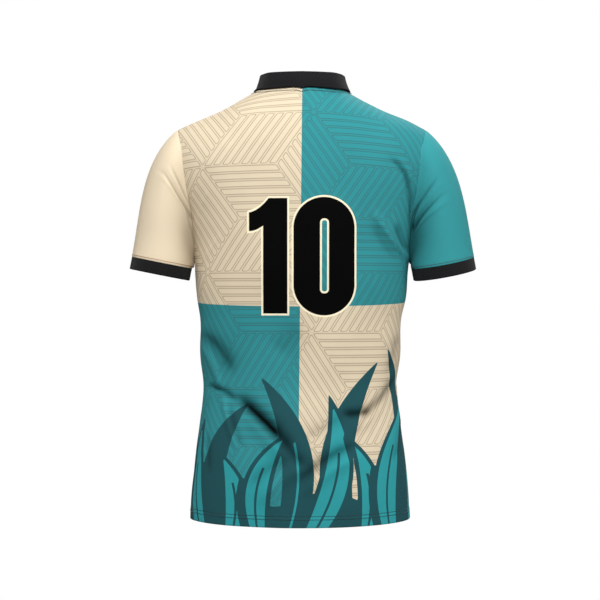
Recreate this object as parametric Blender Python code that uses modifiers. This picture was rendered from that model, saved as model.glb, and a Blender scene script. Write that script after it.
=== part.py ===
"""Cricket jersey, worn form with no wearer: a hollow shirt of cloth walls, in metres, +Z up.

The wearer faces -Y and the wearer's left is +X. The origin is at the middle of the neck, level with
the high points of the shoulders. Sizes below are in millimetres and become metres at the end.
"""

import math

import bpy
import numpy as np

metre = 0.001
wall = 2.0
seamGap = 0.3

# Torso: half-widths to the wearer's left and right of the centre line, and depths behind and before
# the line of the side seams. Above the underarm the half-width is where the curve would end if the
# armhole did not cut it off.
bodyColumns = ("level", "left", "right", "back", "front")
bodyRows = [
    (-715, 185.5, 180.5, 104, 108),
    (-650, 181.0, 176.5, 106, 108),
    (-598, 175.5, 170.5, 103, 106),
    (-545, 168.5, 163.5, 96, 102),
    (-484, 162.0, 157.0, 88, 97),
    (-440, 167.5, 163.5, 89, 99),
    (-372, 168.5, 166.0, 96, 106),
    (-345, 173.0, 172.5, 99, 109),
    (-305, 176.5, 175.5, 104, 113),
    (-278, 177.5, 177.5, 106, 115),
    (-250, 180.5, 180.5, 107, 116),
    (-230, 184.0, 184.0, 108, 117),
    (-200, 192.0, 192.0, 108, 117),
    (-168, 206.0, 206.0, 107, 117),
    (-133, 220.0, 220.0, 106, 116),
    (-63, 244.0, 244.0, 105, 115),
    (40, 270.0, 270.0, 104, 114),
]

# Armhole: how far out its seam runs at each level, on the back and on the front.
armholeColumns = ("level", "back", "front")
armholeRows = [
    (-278, 177.5, 177.5),
    (-250, 178.0, 175.0),
    (-230, 179.0, 174.5),
    (-200, 181.5, 176.0),
    (-168, 188.0, 181.0),
    (-133, 193.5, 187.0),
    (-90, 198.5, 194.5),
    (-64, 205.0, 205.0),
]

body = {
    "underarm": -278.0,
    "hemAtSide": -706.0,
    "hemDrop": 5.5,
    "widthPower": 2.6,
    "depthPower": 2.2,
    "tipOut": 205.0,
    "crest": 32.0,
    "shoulderSlope": 0.5,
    "shoulderDip": 4.6,
    "neckOut": 75.0,
}
# Each face curves over the shoulder from its turn level. The powers set how square that curve is.
face = {
    1: {"name": "back", "turn": -165.0, "rise": 2.4, "over": 2.2, "neckDeep": 60.0},
    -1: {"name": "front", "turn": -235.0, "rise": 1.5, "over": 1.4, "neckDeep": 72.0},
}
grid = {"bodyRows": 25, "yokeRows": 14, "neckCells": 12, "shoulderCells": 9}

# Largest folds: straight troughs (depth below 0) and ridges on a face, from one end to the other.
foldColumns = ("side", "x0", "z0", "x1", "z1", "width", "depth")
foldRows = [
    (1, -144, -120, -170, -190, 11, -4.0),
    (1, -120, -205, -170, -275, 13, 3.2),
    (1, 170, -250, 145, -180, 11, 3.5),
    (1, 165, -292, 128, -236, 12, -3.0),
    (1, 162, -400, 120, -476, 14, -3.6),
    (1, 150, -484, 64, -524, 13, -4.5),
    (1, 64, -524, 12, -578, 15, -3.0),
    (1, -150, -484, -98, -526, 13, -4.2),
    (1, -62, -600, -134, -498, 16, 3.0),
    (-1, 150, -130, 168, -205, 11, -3.6),
    (-1, -166, -258, -136, -200, 12, -3.2),
    (-1, -154, -474, -92, -500, 14, -4.0),
    (-1, 156, -488, 84, -540, 14, -4.2),
    (-1, -40, -590, -120, -508, 15, 3.0),
]

# Sleeve: direction and pull of the cloth as it leaves the armhole, from the shoulder tip (0) round
# the back or the front to the underarm (1), and its pull where it meets the cuff.
sleeveColumns = ("around", "outX", "outY", "outZ", "pull", "cuffPull")
sleeveRows = [
    (0.00, 0.79, 0.00, -0.61, 240, 215),
    (0.22, 0.74, 0.36, -0.56, 155, 190),
    (0.50, 0.82, 0.38, -0.42, 85, 150),
    (0.80, 0.93, 0.20, -0.30, 36, 70),
    (1.00, 0.95, 0.00, -0.30, 14, 10),
]
sleeve = {
    "cuffInX": 183.8,
    "cuffInZ": -292.8,
    "cuffOutX": {"left": 281.5, "right": 286.0},
    "cuffOutZ": -273.0,
    "cuffHalfDeep": 60.0,
    "cuffTall": 20.0,
    "cuffBackDrop": {"left": 2.0, "right": 4.8},
    "rows": 13,
    "cuffRows": 2,
}
sleeveFoldColumns = ("around", "start", "end", "turn", "width", "depth")
sleeveFoldRows = [
    (0.44, 0.10, 0.72, 0.10, 0.07, 3.4),
    (0.66, 0.12, 0.80, -0.06, 0.06, -3.2),
    (-0.50, 0.12, 0.70, 0.08, 0.07, -3.0),
    (-0.30, 0.10, 0.66, 0.06, 0.07, 3.0),
]

# Collar, from the middle of the back (0) to its front edge (1): the top of its fold, and where the
# lower edge of its fall lies on the shirt, on the wearer's left.
collarColumns = ("along", "foldX", "foldY", "foldZ", "edgeX", "edgeY", "bulge")
collarRows = [
    (0.00, 0, 57, 28, 0, 66.5, 2.0),
    (0.18, 32, 51, 28, 38, 59.0, 2.0),
    (0.34, 56, 33, 28, 64, 42.0, 2.0),
    (0.46, 65, 6, 26, 77, 13.0, 2.0),
    (0.57, 61, -17, 15, 81, -16.0, 3.0),
    (0.70, 51, -42, -7, 82, -43.0, 4.5),
    (0.84, 32, -61, -29, 72, -67.0, 5.0),
    (1.00, 7, -73, -46, 54, -86.0, 5.0),
]
collar = {"standCells": 3, "foldCells": 4, "fallCells": 5, "foldRadius": 3.2, "offShirt": 3.9}

placket = {"half": 16.0, "long": 150.0, "wall": 1.4, "cells": 4, "rows": 12, "slit": 0.8}
button = {"radius": 5.7, "thick": 2.4, "rim": 0.5, "below": (22, 70, 118)}

colours = {
    "panel_print": (0.80, 0.67, 0.48, 1.0),
    "cream": (0.85, 0.73, 0.54, 1.0),
    "teal": (0.04, 0.30, 0.33, 1.0),
    "rib": (0.02, 0.02, 0.021, 1.0),
    "button": (0.03, 0.03, 0.03, 1.0),
}


def column(columns, rows, name):
    place = columns.index(name)
    return np.array([row[place] for row in rows], float)


def smooth(columns, rows, name, at):
    """One column of a table as a smooth curve of its first column."""
    stations = column(columns, rows, columns[0])
    values = column(columns, rows, name)
    slopes = np.gradient(values, stations)
    at = np.clip(at, stations[0], stations[-1])
    k = np.clip(np.searchsorted(stations, at, side="right") - 1, 0, len(stations) - 2)
    span = stations[k + 1] - stations[k]
    t = (at - stations[k]) / span
    first = (2 * t**3 - 3 * t**2 + 1) * values[k] + (t**3 - 2 * t**2 + t) * span * slopes[k]
    second = (3 * t**2 - 2 * t**3) * values[k + 1] + (t**3 - t**2) * span * slopes[k + 1]
    return first + second


def unit(vectors):
    return vectors / np.maximum(np.linalg.norm(vectors, axis=-1, keepdims=True), 1e-9)


def shoulderLine(x):
    """Level of the shoulder seam: a straight slope that dips a little between neck and sleeve."""
    slope = body["shoulderSlope"] * (np.sqrt(x * x + 15.5**2) - 15.5)
    dip = body["shoulderDip"] * np.exp(-(((np.abs(x) - 128) / 46) ** 2))
    return body["crest"] - slope - dip


def halfWidth(x, z):
    left = smooth(bodyColumns, bodyRows, "left", z)
    right = smooth(bodyColumns, bodyRows, "right", z)
    return np.where(x > 0, left, right)


def sideFactor(x, z):
    ratio = np.clip(np.abs(x) / halfWidth(x, z), 0, 1)
    return 1 - ratio ** body["widthPower"]


def overFactor(side, x, z):
    turn = face[side]["turn"]
    q = np.clip((z - turn) / (shoulderLine(x) - turn), 0, 1)
    return 1 - q ** face[side]["rise"]


def depthAt(side, x, z):
    """How far behind or before the side seams a face is, and its outward normal there."""
    m, k = body["depthPower"], face[side]["over"]
    a = np.maximum(sideFactor(x, z), 1e-7)
    b = np.maximum(overFactor(side, x, z), 1e-7)
    reach = smooth(bodyColumns, bodyRows, face[side]["name"], z)
    y = reach * a ** (1 / m) * b ** (1 / k)
    aSafe, bSafe = np.maximum(a, 2e-4), np.maximum(b, 2e-4)
    size = reach * aSafe ** (1 / m) * bSafe ** (1 / k)
    step = 0.5
    slopes = []
    for dx, dz in ((step, 0), (0, step)):
        da = sideFactor(x + dx, z + dz) - sideFactor(x - dx, z - dz)
        db = overFactor(side, x + dx, z + dz) - overFactor(side, x - dx, z - dz)
        up = smooth(bodyColumns, bodyRows, face[side]["name"], z + dz)
        down = smooth(bodyColumns, bodyRows, face[side]["name"], z - dz)
        slopes.append(size * (da / aSafe / m + db / bSafe / k + (up - down) / reach) / (2 * step))
    normal = unit(np.stack([-slopes[0], np.full_like(size, side), -slopes[1]], axis=-1) * 1.0)
    return np.where((a <= 1e-6) | (b <= 1e-6), 0.0, y), normal


def foldDepth(side, x, z):
    total = np.zeros_like(x)
    for row in foldRows:
        fold = dict(zip(foldColumns, row))
        if fold["side"] != side:
            continue
        start = np.array([fold["x0"], fold["z0"]], float)
        along = np.array([fold["x1"], fold["z1"]], float) - start
        length = np.linalg.norm(along)
        along = along / length
        t = ((x - start[0]) * along[0] + (z - start[1]) * along[1]) / length
        off = (x - start[0]) * along[1] - (z - start[1]) * along[0]
        ends = np.clip((t + 0.18) / 0.4, 0, 1) * np.clip((1.18 - t) / 0.4, 0, 1)
        ends = ends * ends * (3 - 2 * ends)
        total += fold["depth"] * ends * np.exp(-((off / fold["width"]) ** 2))
    return total


def profileTop(side, x):
    """Angle round the shoulder at which a face ends: at the seam, or at the neck inside it."""
    own = face[side]
    reach = smooth(bodyColumns, bodyRows, own["name"], own["turn"])
    f = np.maximum(1 - (np.abs(x) / 262.0) ** body["widthPower"], 0) ** (1 / body["depthPower"])
    inside = np.sqrt(np.clip(1 - (x / body["neckOut"]) ** 2, 0, 1))
    share = np.clip(own["neckDeep"] * inside / (reach * f), 0, 1)
    return np.arccos(share ** (own["over"] / 2)), reach * f


def yokeLevel(side, x, v):
    """Level reached at share v of the way from the underarm to the top of a face."""
    own = face[side]
    top, reach = profileTop(side, x)
    rise = shoulderLine(x) - own["turn"]
    straight = own["turn"] - body["underarm"]
    curved = 0.5 * math.pi * np.sqrt((rise**2 + reach**2) / 2)
    length = straight + curved * top / (0.5 * math.pi)
    s = v * length
    angle = np.clip((s - straight) / curved * 0.5 * math.pi, 0, 0.5 * math.pi)
    high = own["turn"] + rise * np.sin(angle) ** (2 / own["rise"])
    return np.where(s <= straight, body["underarm"] + s, high)


def armholeOut(side, v):
    out = np.full_like(v, 190.0)
    for _ in range(40):
        level = yokeLevel(side, out, v)
        out = smooth(armholeColumns, armholeRows, face[side]["name"], level)
    return np.where(v >= 1, body["tipOut"], out)


def sharesAcross(side):
    """Places of the columns across a face, low down by equal lengths and at the top by the seams."""
    cells = grid["neckCells"] + 2 * grid["shoulderCells"]
    turn = np.linspace(0, 0.5 * math.pi, 2001)
    outline = np.stack([176 * np.sin(turn) ** (2 / 2.6), 108 * np.cos(turn) ** (2 / 2.2)], axis=1)
    length = np.concatenate([[0], np.cumsum(np.linalg.norm(np.diff(outline, axis=0), axis=1))])
    want = np.linspace(0, length[-1], cells // 2 + 1)
    half = np.interp(want, length, outline[:, 0] / 176)
    low = np.concatenate([-half[::-1], half[1:]])
    neck = body["neckOut"] / body["tipOut"]
    neckHalf = neck * np.sin(np.linspace(0, 0.5 * math.pi, grid["neckCells"] // 2 + 1))
    out = np.linspace(neck, 1, grid["shoulderCells"] + 1)[1:]
    high = np.concatenate([neckHalf, out])
    return low, np.concatenate([-high[::-1], high[1:]])


def faceGrid(side):
    """Outer points and normals of the back (1) or the front (-1), hem row first, then upwards."""
    low, high = sharesAcross(side)
    points, normals, shares = [], [], []
    for i in range(grid["bodyRows"]):
        t = i / grid["bodyRows"]
        hem = body["hemAtSide"] - body["hemDrop"] * (1 - low**2)
        z = hem + (body["underarm"] - hem) * t
        x = low * halfWidth(low, z)
        y, n = depthAt(side, x, z)
        points.append(np.stack([x, side * y, z], axis=1))
        normals.append(n)
    for i in range(grid["yokeRows"] + 1):
        v = i / grid["yokeRows"]
        ease = v * v * (3 - 2 * v)
        across = low + (high - low) * ease
        out = armholeOut(side, np.array([v]))[0]
        x = across * out
        z = yokeLevel(side, x, np.full_like(x, v))
        y, n = depthAt(side, x, z)
        if i == 0:
            y[0], y[-1] = 0, 0
        points.append(np.stack([x, side * y, z], axis=1))
        normals.append(n)
    points, normals = np.array(points), np.array(normals)
    rows, columns = points.shape[:2]
    calm = np.ones((rows, columns))
    ramp = np.clip(np.arange(columns) / 2.0, 0, 1)
    calm *= np.minimum(ramp, ramp[::-1])[None, :]
    calm *= np.clip((rows - 1 - np.arange(rows)) / 3.0, 0, 1)[:, None]
    points += normals * (foldDepth(side, points[..., 0], points[..., 2]) * calm)[..., None]
    return points, normals


def wallMesh(name, outer, inner, material, closed=False, leaveOut=None, split=False):
    """One closed body between an outer and an inner grid of points. With split, each cell is cut corner to corner."""
    rows, columns = outer.shape[:2]
    across = columns if closed else columns - 1
    kept = np.ones((rows - 1, across), bool)
    if leaveOut is not None:
        kept &= ~leaveOut
    count = rows * columns
    faces, edges = [], {}
    for i in range(rows - 1):
        for j in range(across):
            if not kept[i, j]:
                continue
            k = (j + 1) % columns
            loop = (i * columns + j, i * columns + k, (i + 1) * columns + k, (i + 1) * columns + j)
            a, b, c, d = loop
            for part in [(a, b, d), (b, c, d)] if split else [loop]:
                faces.append(part)
                faces.append(tuple(count + p for p in reversed(part)))
            for p, q in zip(loop, loop[1:] + loop[:1]):
                if (q, p) in edges:
                    del edges[(q, p)]
                else:
                    edges[(p, q)] = True
    for p, q in edges:
        faces.append((q, p, count + p, count + q))
    points = np.concatenate([outer.reshape(-1, 3), inner.reshape(-1, 3)])
    used = sorted({p for loop in faces for p in loop})
    place = {p: i for i, p in enumerate(used)}
    faces = [tuple(place[p] for p in loop) for loop in faces]
    points = points[used]
    volume = 0.0
    for loop in faces:
        a = points[loop[0]]
        for p, q in zip(loop[1:], loop[2:]):
            volume += np.dot(a, np.cross(points[p], points[q]))
    if volume < 0:
        faces = [tuple(reversed(loop)) for loop in faces]
    mesh = bpy.data.meshes.new(name)
    mesh.from_pydata((points * metre).tolist(), [], faces)
    mesh.update()
    part = bpy.data.objects.new(name, mesh)
    part.data.materials.append(materialFor(name, material))
    jersey.objects.link(part)
    return part


def materialFor(name, kind):
    made = bpy.data.materials.new(name + "_" + kind)
    made.use_nodes = True
    shader = made.node_tree.nodes["Principled BSDF"]
    shader.inputs["Base Color"].default_value = colours[kind]
    shader.inputs["Metallic"].default_value = 0.0
    shader.inputs["Roughness"].default_value = 0.4 if kind == "button" else 0.85
    return made


def drawIn(points, axis, end, by):
    """Moves one edge of a grid back from its seam, towards its neighbours."""
    edge = [slice(None), slice(None)]
    beside = [slice(None), slice(None)]
    edge[axis] = end
    beside[axis] = end + (1 if end == 0 else -1)
    way = unit(points[tuple(beside)] - points[tuple(edge)])
    points[tuple(edge)] += by * way


def sleeveEdge(side):
    """Armhole points of a face on the wearer's left, shoulder tip first."""
    points, normals = faceGrid(side)
    start = grid["bodyRows"]
    return points[start:, -1][::-1].copy(), normals[start:, -1][::-1].copy()


def armholeLoop():
    """Closed armhole on the wearer's left: down the back and up the front, with shares round it."""
    loop, panel, around = [], [], []
    for side in (1, -1):
        points, normals = sleeveEdge(side)
        length = np.concatenate([[0], np.cumsum(np.linalg.norm(np.diff(points, axis=0), axis=1))])
        share = length / length[-1]
        if side == 1:
            loop.append(points)
            panel.append(normals)
            around.append(share)
        else:
            loop.append(points[-2:0:-1])
            panel.append(normals[-2:0:-1])
            around.append(-share[-2:0:-1])
    return np.concatenate(loop), np.concatenate(panel), np.concatenate(around)


def sleeveRule(around):
    """Directions and pulls for each point round the armhole; the front mirrors the back."""
    size = np.abs(around)
    get = {key: smooth(sleeveColumns, sleeveRows, key, size) for key in sleeveColumns[1:]}
    way = np.stack([get["outX"], np.sign(around) * get["outY"], get["outZ"]], axis=1)
    return unit(way), get["pull"][:, None], get["cuffPull"][:, None]


def cuffLoop(around, hand):
    inner = np.array([sleeve["cuffInX"], 0, sleeve["cuffInZ"]])
    outer = np.array([sleeve["cuffOutX"][hand], 0, sleeve["cuffOutZ"]])
    middle = (inner + outer) / 2
    half = (outer - inner) / 2
    turn = math.pi * around
    ring = middle + np.cos(turn)[:, None] * half
    ring[:, 1] += sleeve["cuffHalfDeep"] * np.sin(turn)
    ring[:, 2] -= sleeve["cuffBackDrop"][hand] * np.sin(turn)
    down = unit(np.array([half[2], 0, -half[0]]))
    return ring, down


def seamNormals(loop, panel, around):
    """Shared normal at the armhole, halfway between the panel's and the sleeve's."""
    way, _, _ = sleeveRule(around)
    along = unit(np.roll(loop, -1, axis=0) - np.roll(loop, 1, axis=0))
    own = unit(np.cross(along, way))
    flip = np.sign(np.sum(own * np.array([0.77, 0, 0.0]), axis=1, keepdims=True))
    own = own * np.where(np.abs(around)[:, None] > 0.85, np.sign(-own[:, 2:3]), flip)
    both = unit(own + panel)
    stretch = 1 / np.clip(np.sum(both * panel, axis=1, keepdims=True), 0.7, 1)
    return both, stretch


def sleeveGrid(hand):
    """Outer points of a sleeve and cuff, as on the wearer's left: rings down from the armhole."""
    loop, panel, around = armholeLoop()
    way, pull, cuffPull = sleeveRule(around)
    ring, down = cuffLoop(around, hand)
    rings = []
    for i in range(sleeve["rows"] + 1):
        t = i / sleeve["rows"]
        first = (2 * t**3 - 3 * t**2 + 1) * loop + (t**3 - 2 * t**2 + t) * pull * way
        second = (3 * t**2 - 2 * t**3) * ring + (t**3 - t**2) * cuffPull * down
        rings.append(first + second)
    for i in range(sleeve["cuffRows"] + 1):
        rings.append(ring + down * (seamGap + (sleeve["cuffTall"] - seamGap) * i / sleeve["cuffRows"]))
    rings = np.array(rings)
    across = unit(np.roll(rings, -1, axis=1) - np.roll(rings, 1, axis=1))
    normals = unit(np.cross(np.gradient(rings, axis=0), across))
    middle = rings.mean(axis=1, keepdims=True)
    inward = np.sum(normals * (rings - middle), axis=2).mean() < 0
    normals = -normals if inward else normals
    rows = sleeve["rows"]
    for fold in (dict(zip(sleeveFoldColumns, row)) for row in sleeveFoldRows):
        t = (np.arange(rows + 1) / rows)[:, None]
        s = (t - fold["start"]) / (fold["end"] - fold["start"])
        ends = np.clip((s + 0.1) / 0.35, 0, 1) * np.clip((1.1 - s) / 0.35, 0, 1)
        off = around[None, :] - fold["around"] - fold["turn"] * s
        rise = fold["depth"] * ends * np.exp(-((off / fold["width"]) ** 2))
        rings[: rows + 1] += normals[: rows + 1] * rise[..., None]
    return rings, normals, around


def neckLoop():
    """Neck edge from the front slit on the wearer's left, round the back, to the slit again."""
    half = placket["slit"] / 2
    edges, tops = [], []
    first = grid["shoulderCells"]
    last = first + grid["neckCells"]
    for side in (1, -1):
        points, normals = faceGrid(side)
        edges.append(points[-1, first : last + 1])
        tops.append(normals[-1, first : last + 1])
    back, front = edges
    middle = len(front) // 2
    loop = np.concatenate([front[middle:], back[-2:0:-1], front[: middle + 1]])
    panel = np.concatenate([tops[1][middle:], tops[0][-2:0:-1], tops[1][: middle + 1]])
    return loop, panel, half


def collarShares():
    """Share along the half-collar, 0 at the back and 1 at the front edge, for each neck point."""
    loop, _, _ = neckLoop()
    length = np.concatenate([[0], np.cumsum(np.linalg.norm(np.diff(loop, axis=0), axis=1))])
    share = length / length[-1]
    return loop, np.abs(1 - 2 * share), np.where(share < 0.5, 1.0, -1.0)


def offShoulder(x, y, lift):
    """The point so far off the shirt's outer face above or before a place in plan."""
    side = 1 if y > 0 else -1
    own = face[side]
    reach = profileTop(side, np.array([x]))[1][0]
    q = max(1 - (abs(y) / reach) ** own["over"], 0) ** (1 / own["rise"])
    level = own["turn"] + (shoulderLine(x) - own["turn"]) * q
    _, n = depthAt(side, np.array([x]), np.array([level]))
    return np.array([x, y, level]) + lift * n[0]


def collarStation(share, hand, seam):
    """Section of the collar at one place: stand, fold and fall, as points on the side that shows."""
    get = {key: float(smooth(collarColumns, collarRows, key, share)) for key in collarColumns[1:]}
    top = np.array([hand * get["foldX"], get["foldY"], get["foldZ"]])
    edge = offShoulder(hand * get["edgeX"], get["edgeY"], collar["offShirt"])
    up = unit(top - seam)
    out = edge - top
    out = unit(out - np.dot(out, up) * up)
    r = collar["foldRadius"]
    section = []
    low = seam - wall * out
    high = top - r * up - r * out
    for i in range(collar["standCells"]):
        section.append(low + (high - low) * i / collar["standCells"])
    for i in range(collar["foldCells"]):
        turn = math.pi * i / collar["foldCells"]
        section.append(top - r * up - r * math.cos(turn) * out + r * math.sin(turn) * up)
    start = top - r * up + r * out
    for i in range(collar["fallCells"] + 1):
        t = i / collar["fallCells"]
        lift = get["bulge"] * math.sin(math.pi * t)
        section.append(start + (edge - start) * t + lift * unit(out + 0.4 * up))
    return np.array(section)


def buildCollar():
    loop, shares, hands = collarShares()
    columns = [collarStation(s, h, p) for s, h, p in zip(shares, hands, loop)]
    shown = np.array(columns)
    shown[0, :, 0] += 0.4
    shown[-1, :, 0] -= 0.4
    along = np.gradient(shown, axis=0)
    section = np.gradient(shown, axis=1)
    normals = unit(np.cross(along, section))
    hidden = shown - wall * normals
    middle = shown[:, collar["standCells"] + 2]
    check = np.sum(normals[:, collar["standCells"] + 2] * (middle - shown[:, 0]), axis=1).mean()
    if check < 0:
        hidden = shown + wall * normals
    lift = np.array([0, 0, seamGap])
    for k in range(len(loop)):
        seam = loop[k] + lift
        inward = unit(shown[k, 0] - loop[k])
        hidden[k, 0] = seam + 0.1 * inward
        shown[k, 0] = seam + (wall + 0.1) * inward
    wallMesh("collar", shown, hidden, "rib")


def buildFaces():
    loop, panel, around = armholeLoop()
    both, stretch = seamNormals(loop, panel, around)
    count = grid["yokeRows"] + 1
    backSeam = (both[:count][::-1], stretch[:count][::-1])
    frontIndex = np.concatenate([[count - 1], np.arange(count, len(loop)), [0]])
    frontSeam = (both[frontIndex], stretch[frontIndex])
    mirror = np.array([-1.0, 1.0, 1.0])
    for side, (seam, reach) in ((1, backSeam), (-1, frontSeam)):
        outer, normals = faceGrid(side)
        outer = outer.copy()
        drawIn(outer, 1, 0, seamGap / 2)
        drawIn(outer, 1, -1, seamGap / 2)
        drawIn(outer, 0, -1, seamGap / 2)
        inner = outer - wall * normals
        start = grid["bodyRows"]
        inner[start:, -1] = outer[start:, -1] - wall * reach * seam
        inner[start:, 0] = outer[start:, 0] - wall * reach * seam * mirror
        ridge = np.abs(outer[-1, :, 0]) > body["neckOut"] - 1
        along = shoulderLine(outer[-1, :, 0] - 0.5) - shoulderLine(outer[-1, :, 0] + 0.5)
        upward = unit(np.stack([along, np.zeros_like(along), np.ones_like(along)], axis=1))
        inner[-1, ridge] = outer[-1, ridge] - wall * upward[ridge]
        leaveOut = None
        if side == -1:
            outer, inner, leaveOut = cutSlit(outer, inner)
        wallMesh(face[side]["name"], outer, inner, "panel_print", leaveOut=leaveOut)


def cutSlit(outer, inner):
    """Splits the middle column of the front in two, a slit apart, down to the placket's foot."""
    middle = outer.shape[1] // 2
    rows = outer.shape[0]
    made = []
    for points in (outer, inner):
        left, right = points[:, middle].copy(), points[:, middle].copy()
        left[:, 0] -= placket["slit"] / 2
        right[:, 0] += placket["slit"] / 2
        made.append(np.concatenate([points[:, :middle], left[:, None], right[:, None],
                                    points[:, middle + 1 :]], axis=1))
    top = outer[-1, middle, 2]
    leaveOut = np.zeros((rows - 1, made[0].shape[1] - 1), bool)
    for i in range(rows - 1):
        leaveOut[i, middle] = outer[i, middle, 2] > top - placket["long"] + 12
    return made[0], made[1], leaveOut


def buildSleeves():
    loop, panel, around = armholeLoop()
    both, stretch = seamNormals(loop, panel, around)
    last = sleeve["rows"] + 1
    mirror = np.array([-1.0, 1.0, 1.0])
    for name, flip in (("left", 1.0), ("right", mirror)):
        rings, normals, _ = sleeveGrid(name)
        outer = rings[:last].copy()
        inner = outer - wall * normals[:last]
        drawIn(outer, 0, 0, seamGap / 2)
        inner[0] = outer[0] - wall * stretch * both
        cuffOuter = rings[last:]
        cuffInner = cuffOuter - wall * normals[last:]
        cloth = "cream" if name == "left" else "teal"
        mirrored = name == "right"
        wallMesh("sleeve_" + name, outer * flip, inner * flip, cloth, closed=True, split=mirrored)
        wallMesh("cuff_" + name, cuffOuter * flip, cuffInner * flip, "rib", closed=True)


def placketGrid(liftOff, half):
    """Points of a strip down the middle of the front, so far off its outer face."""
    top = faceGrid(-1)[0][-1, grid["shoulderCells"] + grid["neckCells"] // 2, 2]
    across = np.linspace(-half, half, placket["cells"] + 1)
    points = []
    for i in range(placket["rows"] + 1):
        t = i / placket["rows"]
        x = across.copy()
        z = np.full_like(x, top - placket["long"] * (1 - t) - 1.0 * t)
        y, n = depthAt(-1, x, z)
        points.append(np.stack([x, -y, z], axis=1) + liftOff * n)
    return np.array(points)


def buildPlacket():
    thick = placket["wall"]
    outer = placketGrid(0.4 + thick, placket["half"])
    wallMesh("placket_over", outer, placketGrid(0.4, placket["half"]), "teal")
    under = placketGrid(-wall - 0.9, placket["half"] - 2)
    underside = placketGrid(-wall - 0.9 - thick, placket["half"] - 2)
    wallMesh("placket_under", under, underside, "teal")
    top = outer[-1, 0, 2]
    for i, below in enumerate(button["below"]):
        x, z = np.array([0.0]), np.array([top - below])
        y, n = depthAt(-1, x, z)
        base = np.array([0, -y[0], z[0]]) + (0.4 + thick + 0.5) * n[0]
        buildButton("button_%d" % (i + 1), base, n[0])


def buildButton(name, base, way):
    """A round button with a bevelled rim, its flat underside at the base."""
    middle = (base + way * button["thick"] / 2) * metre
    tilt = (math.atan2(math.hypot(way[0], way[1]), way[2]), 0, math.atan2(way[0], -way[1]))
    bpy.ops.mesh.primitive_cylinder_add(vertices=32, radius=button["radius"] * metre,
                                        depth=button["thick"] * metre, location=middle,
                                        rotation=tilt)
    part = bpy.context.active_object
    part.name = name
    bevel = part.modifiers.new("rim", "BEVEL")
    bevel.width = button["rim"] * metre
    bevel.segments = 1
    bevel.limit_method = "ANGLE"
    part.data.materials.append(materialFor(name, "button"))
    for holder in list(part.users_collection):
        holder.objects.unlink(part)
    jersey.objects.link(part)


for thing in list(bpy.data.objects):
    bpy.data.objects.remove(thing)
jersey = bpy.data.collections.new("cricket_jersey")
bpy.context.scene.collection.children.link(jersey)

buildFaces()
buildSleeves()
buildCollar()
buildPlacket()
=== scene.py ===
import math
from functools import partialmethod

import bpy
import numpy as np
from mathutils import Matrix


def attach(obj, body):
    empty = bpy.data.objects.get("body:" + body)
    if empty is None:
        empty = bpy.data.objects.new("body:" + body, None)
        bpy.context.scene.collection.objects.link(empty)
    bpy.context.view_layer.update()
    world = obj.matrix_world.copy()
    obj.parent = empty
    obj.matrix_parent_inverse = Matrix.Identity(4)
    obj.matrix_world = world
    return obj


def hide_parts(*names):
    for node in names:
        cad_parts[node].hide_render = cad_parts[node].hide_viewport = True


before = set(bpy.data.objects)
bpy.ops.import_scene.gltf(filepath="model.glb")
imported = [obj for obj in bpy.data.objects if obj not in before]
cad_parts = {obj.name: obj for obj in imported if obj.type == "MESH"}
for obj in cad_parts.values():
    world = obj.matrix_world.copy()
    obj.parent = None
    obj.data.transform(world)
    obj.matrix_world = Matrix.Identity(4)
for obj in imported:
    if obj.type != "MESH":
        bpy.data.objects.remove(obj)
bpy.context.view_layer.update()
for thing in bpy.context.selected_objects:
    thing.select_set(False)

# Sizes are in millimetres, in the part's own frame: +Z up, the wearer faces -Y and their left is +X.
metre = 0.001
seamGap = 0.3
quarterTurn = math.pi / 2
print("frame loaded")


def table(columns, rows):  # each row of numbers under its column names
    return [dict(zip(columns.split(), row)) for row in rows]


def curve(t, start, startPull, end, endPull):  # smooth run from start to end, given its pull at both
    first = (2 * t**3 - 3 * t**2 + 1) * start + (t**3 - 2 * t**2 + t) * startPull
    return first + (3 * t**2 - 2 * t**3) * end + (t**3 - t**2) * endPull


def smooth(rows, name, at):  # one column of a table as a smooth curve of its first column
    first = next(iter(rows[0]))
    stations, values = (np.array([row[key] for row in rows], float) for key in (first, name))
    slopes = np.gradient(values, stations)
    at = np.clip(at, stations[0], stations[-1])
    k = np.clip(np.searchsorted(stations, at, side="right") - 1, 0, len(stations) - 2)
    span = stations[k + 1] - stations[k]
    t = (at - stations[k]) / span
    return curve(t, values[k], span * slopes[k], values[k + 1], span * slopes[k + 1])


def unit(vectors):
    return vectors / np.maximum(np.linalg.norm(vectors, axis=-1, keepdims=True), 1e-9)


def ease(t):
    t = np.clip(t, 0, 1)
    return t * t * (3 - 2 * t)


def arch(t):  # 0 at both ends, 1 half way
    return 4 * t * (1 - t)


def runLength(points, axis=0):  # distance along a line of points, or along one way of a grid
    steps = np.linalg.norm(np.diff(points, axis=axis), axis=-1)
    total = np.cumsum(steps, axis=axis)
    return np.concatenate([np.zeros_like(np.take(total, [0], axis)), total], axis=axis)


def alongLine(line, x, z):  # share along a line of a table, distance off to one side, and its length
    runX, runZ = line["x1"] - line["x0"], line["z1"] - line["z0"]
    long = math.hypot(runX, runZ)
    t = ((x - line["x0"]) * runX + (z - line["z0"]) * runZ) / long**2
    return t, ((x - line["x0"]) * runZ - (z - line["z0"]) * runX) / long, long


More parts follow.
